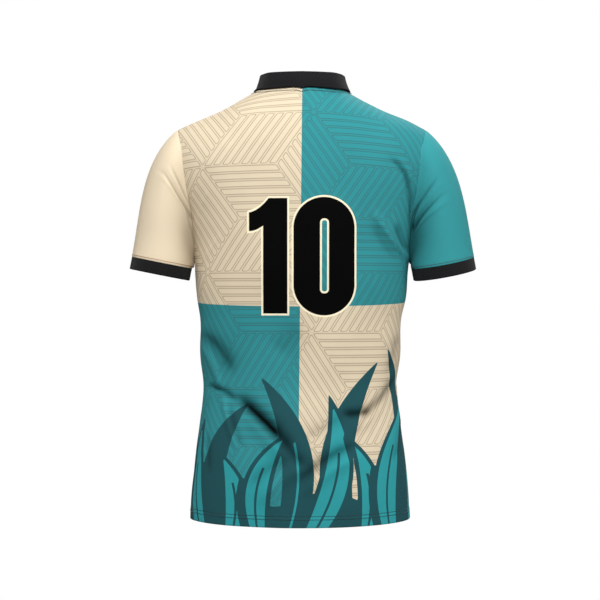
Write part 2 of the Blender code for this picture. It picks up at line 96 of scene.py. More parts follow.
# Half-widths of the body and depths of its back and front at levels, as the frame's panels have them.
bodyRows = table("level left right back front", [
    (-715, 183.5, 180.0, 104, 108),
    (-650, 180.2, 176.2, 106, 108),
    (-598, 175.5, 170.5, 103, 106),
    (-545, 168.5, 163.5, 96, 102),
    (-484, 162.0, 157.0, 88, 97),
    (-440, 167.5, 163.5, 89, 99),
    (-372, 168.5, 166.0, 96, 106),
    (-345, 173.0, 172.5, 99, 109),
    (-305, 176.5, 175.5, 104, 113),
    (-278, 177.5, 177.5, 106, 115),
    (-250, 180.5, 180.5, 107, 116),
    (-230, 184.0, 184.0, 108, 117),
    (-200, 192.0, 192.0, 108, 117),
    (-168, 206.0, 206.0, 107, 117),
    (-133, 220.0, 220.0, 106, 116),
    (-63, 244.0, 244.0, 105, 115),
    (40, 270.0, 270.0, 104, 114),
])
# How far out the armhole runs on the back and the front.
armholeRows = table("level back front", [
    (-278, 177.5, 177.5),
    (-250, 178.0, 175.0),
    (-230, 179.0, 174.5),
    (-200, 181.5, 176.0),
    (-168, 188.0, 181.0),
    (-133, 193.5, 187.0),
    (-90, 198.5, 194.5),
    (-64, 205.0, 205.0),
])
body = {"underarm": -278.0, "hemAtSide": -706.0, "hemDrop": 5.5, "halfWide": 176.0, "halfDeep": 108.0,
        "widthPower": 2.6, "depthPower": 2.2, "tipOut": 205.0, "armholeFrom": 190.0, "yokeHalf": 262.0,
        "crest": 32.0, "crestRound": 15.5, "shoulderSlope": 0.5, "shoulderDip": 4.6, "dipAt": 128.0,
        "dipWide": 46.0, "neckOut": 75.0, "cloth": 0.85, "hemBand": 18.0, "hemEdge": 2.5,
        "hemLift": 0.5, "seamSink": 0.7}
face = {
    1: {"name": "back", "turn": -165.0, "rise": 2.4, "over": 2.2, "neckDeep": 60.0},
    -1: {"name": "front", "turn": -235.0, "rise": 1.5, "over": 1.4, "neckDeep": 72.0},
}
grid = {"bodyRows": 170, "yokeRows": 72, "neckCells": 70, "shoulderCells": 54}

# Troughs (depth below 0) and ridges of the panels, each along a line that bows to one side.
# The "shade" entry is painted shade: each millimetre of a trough's depth darkens the cloth's colour by that
# share.
folds = {"scale": 1.5, "troughPower": 1.5, "ridgePower": 1.8, "past": 0.2, "fade": 0.45, "shade": 0.085,
         "calm": 6.0, "lift": (0.3, 1.0, 0.6)}
foldRows = table("side x0 z0 x1 z1 bow width depth", [
    (1, 150, -166, 174, -232, -3, 3.2, 1.2),
    (1, 130, -240, 160, -284, -2, 3.0, 1.1),
    (1, -146, -118, -174, -161, 5, 3.4, -3.1),
    (1, -172, -155, -179, -222, 3, 4.0, -3.1),
    (1, -160, -118, -184, -172, 4, 4, 1.4),
    (1, -119, -207, -172, -275, -3, 6, 3.6),
    (1, -155, -226, -171, -265, -2, 5, -3.0),
    (1, -115, -226, -151, -278, -3, 6, -1.8),
    (1, 160, -403, 113, -461, 5, 12, -4.5),
    (1, 162, -422, 131, -496, 3, 6, 3.0),
    (1, 152, -486, 109, -506, 3, 5, -4.2),
    (1, 100, -505, 28, -573, 2, 10, -8.0),
    (1, 87, -533, 25, -599, -1, 12, 3.4),
    (1, 28, -570, -4, -612, -3, 9, -4.0),
    (1, 128, -506, 105, -581, -3, 5, 2.6),
    (1, 117, -519, 96, -583, -3, 5, -1.9),
    (1, 64, -666, -1, -612, 4, 14, 3.6),
    (1, 83, -644, 28, -605, 4, 10, -2.0),
    (1, 155, -567, 152, -625, 1, 5, -2.0),
    (1, 162, -554, 166, -605, 1, 5, 1.6),
    (1, -150, -479, -105, -527, 3, 7, -4.8),
    (1, -111, -525, -70, -530, 2, 7, -5.4),
    (1, -140, -493, -94, -554, 3, 8, 2.8),
    (1, -81, -581, 3, -636, -5, 9, -4.2),
    (1, -87, -600, -7, -652, -5, 12, 3.6),
    (1, -66, -532, -8, -566, 3, 11, -1.9),
    (1, -108, -532, -88, -568, -2, 3.5, -1.8),
    (1, -158, -406, -142, -464, 2, 8, -2.4),
    (1, -166, -554, -151, -605, 2, 7, -1.8),
    (1, 118, -88, 154, -133, 2, 14, 1.2),
    (1, 3, -393, 41, -429, 3, 20, -1.4),
    (-1, 148, -128, 172, -212, 4, 6, -4.4),
    (-1, 158, -150, 176, -222, 4, 6, 2.2),
    (-1, 132, -214, 168, -272, 4, 7, 2.4),
    (-1, 122, -232, 160, -290, 4, 7, -2.6),
    (-1, -172, -262, -134, -196, 4, 7, -4.2),
    (-1, -160, -284, -118, -228, 4, 7, 2.4),
    (-1, -150, -296, -96, -246, 3, 8, -2.4),
    (-1, -156, -470, -88, -502, -6, 8, -5.0),
    (-1, -150, -494, -96, -536, -6, 8, 2.8),
    (-1, -96, -508, -44, -530, -4, 9, -3.0),
    (-1, 158, -484, 86, -536, 6, 9, -5.4),
    (-1, 152, -456, 104, -500, 5, 9, 2.4),
    (-1, 150, -424, 112, -468, 5, 8, -2.6),
    (-1, -34, -596, -118, -512, 6, 11, 3.4),
    (-1, -20, -620, -96, -560, 6, 9, -2.6),
    (-1, 88, -538, 26, -594, 5, 9, -3.4),
    (-1, 66, -662, 126, -604, 5, 11, 2.6),
    (-1, 96, -660, 146, -606, 4, 7, -1.8),
    (-1, -160, -560, -150, -622, 2, 6, -2.2),
    (-1, -146, -560, -134, -616, 2, 6, 1.6),
])
# Slow swell of the cloth between its folds: wavelength across, up and how high.
swellRows = table("side across upward shift height", [
    (1, 210, 260, 0.7, 0.9),
    (1, 130, -190, 2.1, 0.6),
    (1, 86, 150, 4.0, 0.35),
    (-1, 190, 240, 1.7, 0.9),
    (-1, 120, -210, 0.4, 0.6),
    (-1, 92, 140, 3.1, 0.35),
])


def shoulderLine(x):
    slope = body["shoulderSlope"] * (np.sqrt(x * x + body["crestRound"] ** 2) - body["crestRound"])
    dip = body["shoulderDip"] * np.exp(-(((np.abs(x) - body["dipAt"]) / body["dipWide"]) ** 2))
    return body["crest"] - slope - dip


def halfWidth(x, z):
    return np.where(x > 0, smooth(bodyRows, "left", z), smooth(bodyRows, "right", z))


def faceParts(side, x, z):  # factors of a face's depth: in from its side, over the shoulder, its reach
    own = face[side]
    fromSide = 1 - np.clip(np.abs(x) / halfWidth(x, z), 0, 1) ** body["widthPower"]
    over = 1 - np.clip((z - own["turn"]) / (shoulderLine(x) - own["turn"]), 0, 1) ** own["rise"]
    return fromSide, over, smooth(bodyRows, own["name"], z)


def depthOnly(side, x, z, least=0.0):  # how far a face is behind or before the side seams
    a, b, reach = faceParts(side, x, z)
    a, b = np.maximum(a, least), np.maximum(b, least)
    return reach * a ** (1 / body["depthPower"]) * b ** (1 / face[side]["over"])


def depthAt(side, x, z):  # that depth, and the outward normal by steps across and up
    a, b, reach = faceParts(side, x, z)
    depth = np.where((a <= 1e-6) | (b <= 1e-6), 0.0, depthOnly(side, x, z))
    least, step = 2e-4, 0.5
    size = depthOnly(side, x, z, least)
    scale = (body["depthPower"] * np.maximum(a, least), face[side]["over"] * np.maximum(b, least), reach)
    slopes = []
    for dx, dz in ((step, 0), (0, step)):
        ahead, behind = faceParts(side, x + dx, z + dz), faceParts(side, x - dx, z - dz)
        share = sum((after - before) / part for after, before, part in zip(ahead, behind, scale))
        slopes.append(size * share / (2 * step))
    return depth, unit(np.stack([-slopes[0], np.full_like(size, side), -slopes[1]], axis=-1))


def foldDepth(side, x, z):  # lift of the cloth by its folds, and how much of it is trough
    total, hollow = np.zeros_like(x), np.zeros_like(x)
    past, fade = folds["past"], folds["fade"]
    for fold in foldRows:
        if fold["side"] != side:
            continue
        t, off, _ = alongLine(fold, x, z)
        off = off - fold["bow"] * arch(np.clip(t, -past, 1 + past))
        ends = ease((t + past) / fade) * ease((1 + past - t) / fade)
        power = folds["troughPower"] if fold["depth"] < 0 else folds["ridgePower"]
        lift = folds["scale"] * fold["depth"] * ends * np.exp(-(np.abs(off / fold["width"]) ** power))
        total += lift
        hollow += np.maximum(-lift, 0)
    for swell in swellRows:
        if swell["side"] == side:
            turn = 2 * math.pi * (x / swell["across"] + z / swell["upward"]) + swell["shift"]
            total += swell["height"] * np.sin(turn)
    return total, hollow


def profileTop(side, x):  # angle round the shoulder where a face ends, and its reach there
    own = face[side]
    flank = 1 - (np.abs(x) / body["yokeHalf"]) ** body["widthPower"]
    reach = smooth(bodyRows, own["name"], own["turn"]) * np.maximum(flank, 0) ** (1 / body["depthPower"])
    inside = np.sqrt(np.clip(1 - (x / body["neckOut"]) ** 2, 0, 1))
    share = np.clip(own["neckDeep"] * inside / reach, 0, 1)
    return np.arccos(share ** (own["over"] / 2)), reach


def yokeLevel(side, x, v):  # level at share v of the way from the underarm up to the seam or the neck
    own = face[side]
    top, reach = profileTop(side, x)
    rise = shoulderLine(x) - own["turn"]
    straight = own["turn"] - body["underarm"]
    curved = quarterTurn * np.sqrt((rise**2 + reach**2) / 2)
    s = v * (straight + curved * top / quarterTurn)
    angle = quarterTurn * np.clip((s - straight) / curved, 0, 1)
    high = own["turn"] + rise * np.sin(angle) ** (2 / own["rise"])
    return np.where(s <= straight, body["underarm"] + s, high)


def armholeOut(side, v):
    out = np.full_like(v, body["armholeFrom"])
    for _ in range(40):
        out = smooth(armholeRows, face[side]["name"], yokeLevel(side, out, v))
    return np.where(v >= 1, body["tipOut"], out)


def sharesAcross():  # columns across a face: by equal lengths low down, by the seams at the top
    cells = grid["neckCells"] + 2 * grid["shoulderCells"]
    turn = np.linspace(0, quarterTurn, 4001)
    wide = np.sin(turn) ** (2 / body["widthPower"])
    deep = np.cos(turn) ** (2 / body["depthPower"])
    length = runLength(np.stack([body["halfWide"] * wide, body["halfDeep"] * deep], axis=1))
    low = np.interp(np.linspace(0, length[-1], cells // 2 + 1), length, wide)
    neck = body["neckOut"] / body["tipOut"]
    neckHalf = neck * np.sin(np.linspace(0, quarterTurn, grid["neckCells"] // 2 + 1))
    high = np.concatenate([neckHalf, np.linspace(neck, 1, grid["shoulderCells"] + 1)[1:]])
    return [np.concatenate([-half[::-1], half[1:]]) for half in (low, high)]


def faceGrid(side):  # one panel, hem row first: its points, normals, flat cut and troughs
    low, high = sharesAcross()
    hem = body["hemAtSide"] - body["hemDrop"] * (1 - low**2)
    places = []
    for t in np.arange(grid["bodyRows"]) / grid["bodyRows"]:
        z = hem + (body["underarm"] - hem) * t
        places.append((low * halfWidth(low, z), z))
    for v in np.arange(grid["yokeRows"] + 1) / grid["yokeRows"]:
        x = (low + (high - low) * ease(v)) * armholeOut(side, v)
        places.append((x, yokeLevel(side, x, v)))
    x, z = np.array(places).transpose(1, 0, 2)
    y, normals = depthAt(side, x, z)
    y[grid["bodyRows"], [0, -1]] = 0
    points = np.stack([x, side * y, z], axis=-1)
    fromEdge = np.minimum(runLength(points, 1), runLength(points[:, ::-1], 1)[:, ::-1])
    fromTop = runLength(points[::-1])[::-1]
    lift, hollow = foldDepth(side, x, z)
    lift *= ease(fromEdge / folds["calm"]) * ease(fromTop / (2 * folds["calm"]))
    lift += body["hemLift"] * ease((body["hemBand"] - (z - hem)) / body["hemEdge"])
    points += unit(normals * folds["lift"]) * lift[..., None]
    return {"points": points, "normals": normals, "flat": flatPlaces(side, x, z), "hollow": hollow}


def flatPlaces(side, x, z):  # where each point lies on the flat cut: across from the middle, and up
    share = np.sin(np.linspace(0, quarterTurn, 33))
    turn = face[side]["turn"]

    def arc(run, depth):
        return np.sqrt(np.diff(run) ** 2 + np.diff(depth) ** 2).sum(axis=-1)

    xs = x[..., None] * share
    zs = turn + np.maximum(z - turn, 0)[..., None] * share
    across = arc(xs, depthOnly(side, xs, z[..., None])) * np.sign(x)
    over = turn + arc(zs, depthOnly(side, x[..., None], zs))
    return np.stack([across, np.where(z > turn, over, z)], axis=-1)


def openEdges(quads, count):  # directed edges that only one face has
    ends = np.concatenate([quads[:, [0, 1]], quads[:, [1, 2]], quads[:, [2, 3]], quads[:, [3, 0]]])
    key = ends[:, 0] * count + ends[:, 1]
    back = ends[:, 1] * count + ends[:, 0]
    return ends[~np.isin(key, back)]


def shell(name, outer, inner, flat, closed=False, leaveOut=None, marks=None):
    # closed body between two grids of points, with rounded rims; flat gives each point's pattern place
    rows, columns = outer.shape[:2]
    count = rows * columns
    index = np.arange(count).reshape(rows, columns)
    left = index if closed else index[:, :-1]
    right = np.roll(index, -1, axis=1) if closed else index[:, 1:]
    quads = np.stack([left[:-1], right[:-1], right[1:], left[1:]], axis=-1)
    quads = quads[~leaveOut] if leaveOut is not None else quads.reshape(-1, 4)
    top, low = outer.reshape(-1, 3), inner.reshape(-1, 3)
    normal = np.cross(top[quads[:, 2]] - top[quads[:, 0]], top[quads[:, 3]] - top[quads[:, 1]])
    if np.sum(normal * (top - low)[quads[:, 0]]) < 0:
        quads = quads[:, ::-1]
    ends = openEdges(quads, count)
    p, q = ends.T
    rim = np.unique(ends)
    outward = np.zeros((count, 3))
    sideways = unit(np.cross(top[q] - top[p], (top - low)[p]))
    np.add.at(outward, p, sideways)
    np.add.at(outward, q, sideways)
    thick = np.linalg.norm(top - low, axis=1, keepdims=True)
    middle = ((top + low) / 2 + 0.5 * thick * unit(outward))[rim]
    place = np.zeros(count, int)
    place[rim] = 2 * count + np.arange(len(rim))
    upper = np.stack([q, p, place[p], place[q]], axis=1)
    lower = np.stack([place[q], place[p], count + p, count + q], axis=1)
    faces = np.concatenate([quads, count + quads[:, ::-1], upper, lower])
    mesh = bpy.data.meshes.new(name)
    mesh.from_pydata((np.concatenate([top, low, middle]) * metre).tolist(), [], faces.tolist())
    flat = flat.reshape(-1, 2)
    layPattern(mesh, np.concatenate([flat, flat, flat[rim]]) * metre, closed)
    layMark(mesh, "wrongSide", np.concatenate([np.zeros(count), np.ones(count), np.zeros(len(rim))]))
    for mark, values in (marks or {}).items():
        values = values.reshape(-1)
        layMark(mesh, mark, np.concatenate([values, values, values[rim]]))
    return addPiece(name, mesh)


def layPattern(mesh, places, closed):
    corners = np.zeros(len(mesh.loops), int)
    mesh.loops.foreach_get("vertex_index", corners)
    across = places[corners].reshape(-1, 4, 2)
    if closed:  # the seam of a tube, where its pattern starts again
        turn = np.ptp(places[:, 0])
        wide = np.ptp(across[..., 0], axis=1) > turn / 2
        across[..., 0] += np.where(wide[:, None] & (across[..., 0] < 0), turn, 0)
    layer = mesh.uv_layers.new(name="pattern")
    layer.data.foreach_set("uv", across.reshape(-1))


def layMark(mesh, name, values):
    mesh.attributes.new(name, "FLOAT", "POINT").data.foreach_set("value", values.astype(np.float32))


def give(thing, **settings):
    for name, value in settings.items():
        setattr(thing, name, value)


def link(name, data):
    thing = bpy.data.objects.new(name, data)
    bpy.context.scene.collection.objects.link(thing)
    return thing


def addPiece(name, mesh):
    mesh.polygons.foreach_set("use_smooth", np.ones(len(mesh.polygons), bool))
    mesh.update()
    piece = link(name, mesh)
    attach(piece, "root")
    return piece


def dress(piece, node, paint):  # gives a piece its finish and hides the CAD node that it stands for
    piece.data.materials.append(paint)
    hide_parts(node)
    return piece


def drawIn(points, axis, end, by):  # one edge of a grid moved back from its seam
    lines = np.moveaxis(points, axis, 0)
    beside = lines[1 if end == 0 else -2]
    lines[end] += by * unit(beside - lines[end])


def clothArea(outer):
    a = outer[1:, 1:] - outer[:-1, :-1]
    b = outer[1:, :-1] - outer[:-1, 1:]
    return float(np.linalg.norm(np.cross(a, b), axis=-1).sum()) / 2 * metre * metre


# Stitches are short capsules of thread, sunk half way into the cloth. Each ring has its place along
# the stitch and its girth.
stitch = {"long": 2.5, "pitch": 3.3, "radius": 0.3, "sides": 6, "lift": 0.1, "sink": 0.3,
          "rings": ((-0.5, 0.35), (-0.36, 1.0), (0.36, 1.0), (0.5, 0.35))}


def placeOn(path, length, s):
    return np.stack([np.interp(s, length, path[:, k]) for k in range(3)], axis=-1)


def stitchRow(name, lines, thread, long=stitch["long"], pitch=stitch["pitch"],
              radius=stitch["radius"]):
    # each line is points and normals along the row; every stitch lies between two needle holes
    sides = stitch["sides"]
    turn = (2 * math.pi * np.arange(sides) / sides)[:, None]
    along, girth = np.array(stitch["rings"]).T[:, :, None, None]
    sink = np.where(girth < 1, stitch["sink"], 0) * radius
    points, faces = [], []
    for path, normals in lines:
        length = runLength(path)
        count = int((length[-1] - pitch) // pitch)
        s = (length[-1] - (count - 1) * pitch) / 2 + pitch * np.arange(count)
        before, after = placeOn(path, length, s - 0.5), placeOn(path, length, s + 0.5)
        way = unit(after - before)
        side = unit(np.cross(placeOn(normals, length, s), way))
        up = np.cross(way, side)
        middle = (before + after) / 2 + stitch["lift"] * up
        way, side, up, middle = (part[:, None, None] for part in (way, side, up, middle))
        centre = middle + along * long * way - sink * up
        ring = girth * radius * (np.cos(turn) * side + np.sin(turn) * up)
        points.append((centre + ring).reshape(-1, 3))
    points = np.concatenate(points) * metre
    for start in range(0, len(points), 4 * sides):
        for low in range(start, start + 3 * sides, sides):
            for j in range(sides):
                k = (j + 1) % sides
                faces.append((low + j, low + k, low + sides + k, low + sides + j))
        faces.append(tuple(reversed(range(start, start + sides))))
        faces.append(tuple(range(start + 3 * sides, start + 4 * sides)))
    mesh = bpy.data.meshes.new(name)
    mesh.from_pydata(points.tolist(), [], faces)
    piece = addPiece(name, mesh)
    piece.data.materials.append(finish[thread])
    return piece


def betweenRows(points, normals, height):  # a line across a grid, so far above its first row
    rise = runLength(points)
    path, ways = (np.array([placeOn(part[:, j], rise[:, j], height) for j in range(part.shape[1])])
                  for part in (points, normals))
    return path, unit(ways)


# Colours are linear, and depths of relief are in millimetres.
cloth = {
    "cream": (0.800, 0.672, 0.487, 1.0),
    "panelCream": (0.705, 0.597, 0.432, 1.0),
    "teal": (0.038, 0.287, 0.308, 1.0),
    "panelTeal": (0.032, 0.262, 0.286, 1.0),
    "darkTeal": (0.016, 0.078, 0.090, 1.0),
    "midTeal": (0.030, 0.310, 0.335, 1.0),
    "creamLine": (0.315, 0.252, 0.175, 1.0),
    "tealLine": (0.042, 0.130, 0.140, 1.0),
    "number": (0.0002, 0.0002, 0.0003, 1.0),
    "numberEdge": (0.92, 0.83, 0.60, 1.0),
    "wrongSide": (0.74, 0.72, 0.67, 1.0),
    "shade": (0.0, 0.0, 0.0, 1.0),
    "roughness": 0.72,
    "sheen": 0.015,
    "sheenSpread": 0.45,
    "shine": 0.05,
    "cloud": 0.05,
    "cloudScale": 14.0,
    "cloudRange": (0.3, 0.7),
    "wale": 0.9,
    "course": 0.75,
    "courseShare": 0.4,
    "knitDepth": 0.06,
    "showThrough": 0.30,
}


class Value:  # a number in a material, which adds and multiplies like a plain one
    def __init__(self, nodes, socket):
        self.nodes, self.socket = nodes, socket

    def by(self, how, *others):
        return self.nodes.sum(how, self, *others)

    def step(self, low, high):  # 0 at low, 1 at high
        places = enumerate((self, low, high, 0.0, 1.0))
        return Value(self.nodes, self.nodes.add("ShaderNodeMapRange", places).outputs[0])

    def __rsub__(self, other):
        return self.nodes.sum("SUBTRACT", other, self)

    def __neg__(self):
        return self * -1.0

    __add__ = __radd__ = partialmethod(by, "ADD")
    __mul__ = __rmul__ = partialmethod(by, "MULTIPLY")
    __sub__ = partialmethod(by, "SUBTRACT")
    __truediv__ = partialmethod(by, "DIVIDE")
    __abs__ = partialmethod(by, "ABSOLUTE")
    __gt__ = partialmethod(by, "GREATER_THAN")
    __lt__ = partialmethod(by, "LESS_THAN")
    greater = partialmethod(by, "MAXIMUM")
    lesser = partialmethod(by, "MINIMUM")


class Finish:  # one material and its nodes
    def __init__(self, name, roughness, sheen=0.0, coat=0.0):
        self.material = bpy.data.materials.new(name)
        self.material.use_nodes = True
        self.tree = self.material.node_tree
        self.fill(self.tree.nodes["Principled BSDF"], {
            "Roughness": roughness, "Sheen Weight": sheen, "Sheen Roughness": cloth["sheenSpread"],
            "Coat Weight": coat, "Specular IOR Level": cloth["shine"]})

    def fill(self, node, inputs):
        for place, value in inputs.items():
            value = value.socket if isinstance(value, Value) else value
            if isinstance(value, bpy.types.NodeSocket):
                self.tree.links.new(value, node.inputs[place])
            else:
                node.inputs[place].default_value = value

    def add(self, kind, inputs=(), **settings):
        node = self.tree.nodes.new(kind)
        give(node, **settings)
        self.fill(node, dict(inputs))
        return node

    def sum(self, how, *values):
        return Value(self, self.add("ShaderNodeMath", enumerate(values), operation=how).outputs[0])

    def mix(self, share, first, second):
        inputs = {0: share, 6: first, 7: second}
        return self.add("ShaderNodeMix", inputs, data_type="RGBA").outputs[2]

    def mark(self, name):
        return Value(self, self.add("ShaderNodeAttribute", attribute_name=name).outputs["Fac"])

    def pattern(self):  # the flat cut's places in millimetres, across to the right as seen from behind
        flat = self.add("ShaderNodeUVMap", uv_map="pattern").outputs[0]
        split = self.add("ShaderNodeSeparateXYZ", {0: flat})
        across, upward = (Value(self, split.outputs[place]) for place in (0, 1))
        return across * (-1 / metre), upward * (1 / metre)

    def noise(self, scale, detail=2.0):
        place = self.add("ShaderNodeTexCoord").outputs["Object"]
        node = self.add("ShaderNodeTexNoise", {"Vector": place, "Scale": scale, "Detail": detail})
        return Value(self, node.outputs["Fac"])

    def done(self, colour, height=None, depth=0.0, strength=1.0):  # its colour, and a relief if it has one
        shader = {"Base Color": colour}
        if height is not None:
            relief = {"Strength": strength, "Distance": depth * metre, "Height": height}
            shader["Normal"] = self.add("ShaderNodeBump", relief).outputs[0]
        self.fill(self.tree.nodes["Principled BSDF"], shader)
        return self.material


def wave(place, length):
    return (place * (2 * math.pi / length)).by("SINE")


def clothFinish(name, paint):
    nodes = Finish(name, cloth["roughness"], cloth["sheen"])
    across, upward = nodes.pattern()
    wrongSide = nodes.mark("wrongSide")
    cloud = nodes.noise(cloth["cloudScale"]).step(*cloth["cloudRange"]) * cloth["cloud"]
    # painted shade: the "hollow" mark darkens the colour towards black in creases and under the arms; the
    # noise cloud adds faint random blotches
    deep = nodes.mark("hollow") * (1.0 - wrongSide)
    shade = nodes.mix(cloud + deep, paint(nodes, across, upward), cloth["shade"])
    pale = nodes.mix(cloth["showThrough"], cloth["wrongSide"], shade)
    loops = abs(wave(across, cloth["wale"])) + wave(upward, cloth["course"]) * cloth["courseShare"]
    return nodes.done(nodes.mix(wrongSide, shade, pale), loops, cloth["knitDepth"])


def plainKnit(name, colour):
    return clothFinish(name, lambda nodes, across, upward: cloth[colour])


# The rib's grooves get a darker colour than its ridges: painted shade.
rib = {"colour": (0.014, 0.014, 0.015, 1.0), "grooveShade": (0.008, 0.008, 0.009, 1.0),
       "lint": (0.12, 0.12, 0.12, 1.0), "lintScale": 900.0, "lintRange": (0.55, 0.8), "lintShare": 0.10,
       "grooveRange": (0.2, -0.9), "roughness": 0.85, "sheen": 0.05, "pitch": 2.4, "depth": 0.35,
       "strength": 0.6, "loopShare": 0.15}


def ribFinish():
    nodes = Finish("ribKnit", rib["roughness"], rib["sheen"])
    across, upward = nodes.pattern()
    ridge = wave(across, rib["pitch"])
    height = ridge + wave(upward, cloth["course"]) * rib["loopShare"]
    lint = nodes.noise(rib["lintScale"]).step(*rib["lintRange"]) * rib["lintShare"]
    paint = nodes.mix(lint, rib["colour"], rib["lint"])
    # painted shade: the rib's grooves are darker than its ridges
    paint = nodes.mix(ridge.step(*rib["grooveRange"]), paint, rib["grooveShade"])
    return nodes.done(paint, height, rib["depth"], rib["strength"])


plastic = {"colour": (0.012, 0.012, 0.013, 1.0), "cloud": (0.03, 0.03, 0.032, 1.0), "roughness": 0.32,
           "coat": 0.2, "cloudScale": 260.0, "cloudRange": (0.35, 0.65), "grain": 500.0,
           "grainDepth": 0.02, "detail": 3.0}


def buttonFinish():
    nodes = Finish("buttonPlastic", plastic["roughness"], coat=plastic["coat"])
    cloud = nodes.noise(plastic["cloudScale"], plastic["detail"]).step(*plastic["cloudRange"])
    grain = nodes.noise(plastic["grain"], plastic["detail"])
    return nodes.done(nodes.mix(cloud, plastic["colour"], plastic["cloud"]), grain, plastic["grainDepth"])


thread = {"roughness": 0.55, "sheen": 0.3, "twist": 2500.0, "twistShade": 0.3}
threadColours = {
    "darkThread": (0.012, 0.05, 0.056, 1.0),
    "tealThread": (0.02, 0.13, 0.145, 1.0),
    "greyThread": (0.06, 0.085, 0.09, 1.0),
    "brownThread": (0.36, 0.15, 0.085, 1.0),
    "blackThread": (0.015, 0.015, 0.016, 1.0),
}


def threadFinish(name):
    nodes = Finish(name, thread["roughness"], thread["sheen"])
    twist = nodes.noise(thread["twist"], 1.0) * thread["twistShade"]
    return nodes.done(nodes.mix(twist, threadColours[name], cloth["shade"]))


finish = {name: threadFinish(name) for name in threadColours}
finish["creamKnit"] = plainKnit("creamKnit", "cream")
finish["tealKnit"] = plainKnit("tealKnit", "teal")
finish["rib"] = ribFinish()
finish["button"] = buttonFinish()
print("finishes made")

# Line work of the panels: a tiling of lozenges, each filled with long bars that end at the cell's
# edge. It has the steps between like points of the tiling, and a point where six cells meet.
tiling = {"stepAcross": 119.5, "shiftUp": 59.7, "stepUp": 87.1, "meetX": 19.8, "meetZ": -213.0,
          "barHalf": 4.35, "corner": 2.6, "endGap": 1.6, "line": 0.46, "soft": 0.35, "lineShow": 0.72,
          "channelShow": 0.055, "levelShow": 0.121}
cellRows = table("kind bars across long", [
    ("rising", 8, 98.6, 98.6),
    ("level", 7, 87.1, 98.6),
    ("falling", 8, 98.5, 98.5),
])
quarters = {"middle": 0.9, "lean": 0.0100, "level": -347.5, "sag": 8.1, "halfAcross": 235.0}
# How the tiling lies: it leans out at the sides and droops at the shoulders, and in the lower quarters
# it is drawn a little narrower, taller and farther down.
lie = {"lean": 4.5, "leanAt": 180.0, "droopLeft": 5.0, "droopRight": 10.0, "droopFrom": -260.0,
       "droopTo": -150.0, "lowX": 15.8, "lowZ": -397.5, "rowsDown": 2, "narrow": 1.036, "tall": 0.955}
number = {
    "edge": 3.1,
    "soft": 0.1,
    "one": {"left": -62.1, "right": -23.0, "top": -181.5, "foot": -367.2, "flag": -85.2,
            "slope": (-53.2, -181.5, -85.2, -204.6), "under": (-62.1, -225.7, -85.2, -234.5),
            "hollow": 3.6, "belly": 2.2},
    "ring": {"x": 36.3, "z": -275.0, "halfWide": 49.4, "halfTall": 95.1, "round": 49.4},
    "hole": {"x": 36.7, "z": -274.5, "halfWide": 7.2, "halfTall": 60.2, "round": 6.6},
}


def cornerDistance(dx, dz, corner):
    outX, outZ = dx.greater(0.0), dz.greater(0.0)
    return (outX * outX + outZ * outZ).by("SQRT") + dx.greater(dz).lesser(0.0) - corner


def boxDistance(across, upward, box):  # distance outside a box with round corners
    dx = abs(across - box["x"]) - (box["halfWide"] - box["round"])
    dz = abs(upward - box["z"]) - (box["halfTall"] - box["round"])
    return cornerDistance(dx, dz, box["round"])


def beyondLine(across, upward, line, sign, bow):  # distance beyond a slanting line that bows
    x0, z0, x1, z1 = line
    length = math.hypot(x1 - x0, z1 - z0)
    straight = ((across - x0) * (z0 - z1) + (upward - z0) * (x1 - x0)) * (sign / length)
    return straight + arch((across - x0) / (x1 - x0)).greater(0.0) * bow


def numberDistance(across, upward):
    one = number["one"]
    slope = beyondLine(across, upward, one["slope"], -1, one["hollow"])
    under = beyondLine(across, upward, one["under"], 1, -one["belly"])
    tall = (upward - one["top"]).greater(one["foot"] - upward)
    flag = (one["flag"] - across).greater(under)
    whole = (across - one["right"]).greater(tall).greater(slope)
    first = whole.greater((one["left"] - across).lesser(flag))
    around, inside = (boxDistance(across, upward, number[key]) for key in ("ring", "hole"))
    return first.lesser(around.greater(-inside))


def barLines(across, upward):  # how much the lines of the bars show, and the channels between them
    q = (upward - tiling["meetZ"]) / tiling["stepUp"]
    p = (across - tiling["meetX"] - q * tiling["shiftUp"]) / tiling["stepAcross"]
    cellP, cellQ = p.by("FLOOR"), q.by("FLOOR")
    partP, partQ = p - cellP, q - cellQ
    both = partP + partQ
    third = (cellP - cellQ).by("FLOORED_MODULO", 3.0)
    isRising = third < 0.5
    isLevel = third.by("COMPARE", (both < 1.0) + 1.0, 0.1)
    kinds = {"rising": (isRising, partP, partQ),
             "level": (isLevel, partQ, (1.0 - both).by("FRACT")),
             "falling": (1.0 - (isRising + isLevel), both.by("FRACT"), 1.0 - partP)}
    off, end = 0.0, 0.0
    for cell in cellRows:
        chosen, side, along = kinds[cell["kind"]]
        dx = abs((side * float(cell["bars"])).by("FRACT") - 0.5) * (cell["across"] / cell["bars"])
        dz = (abs(along - 0.5) - 0.5) * cell["long"] + tiling["endGap"]
        off, end = off + dx * chosen, end + dz * chosen
    corner = tiling["corner"]
    distance = cornerDistance(off - (tiling["barHalf"] - corner), end + corner, corner)
    line = abs(distance).step(tiling["line"] + tiling["soft"], tiling["line"])
    channel = distance.step(0.0, 1.0) * (isLevel * tiling["levelShow"] + tiling["channelShow"])
    return line * tiling["lineShow"], channel


def tilingPlace(across, upward, low):
    out = across / lie["leanAt"]
    out = out * out
    droop = (across > 0.0) * (lie["droopRight"] - lie["droopLeft"]) + lie["droopLeft"]
    droop = droop * upward.step(lie["droopFrom"], lie["droopTo"])
    highX, highZ = across + out * lie["lean"], upward + out * droop
    rowBelow = tiling["meetZ"] - lie["rowsDown"] * tiling["stepUp"]
    lowX = (across - lie["lowX"]) * lie["narrow"] + tiling["meetX"]
    lowZ = (upward - lie["lowZ"]) * lie["tall"] + rowBelow
    return highX + (lowX - highX) * low, highZ + (lowZ - highZ) * low


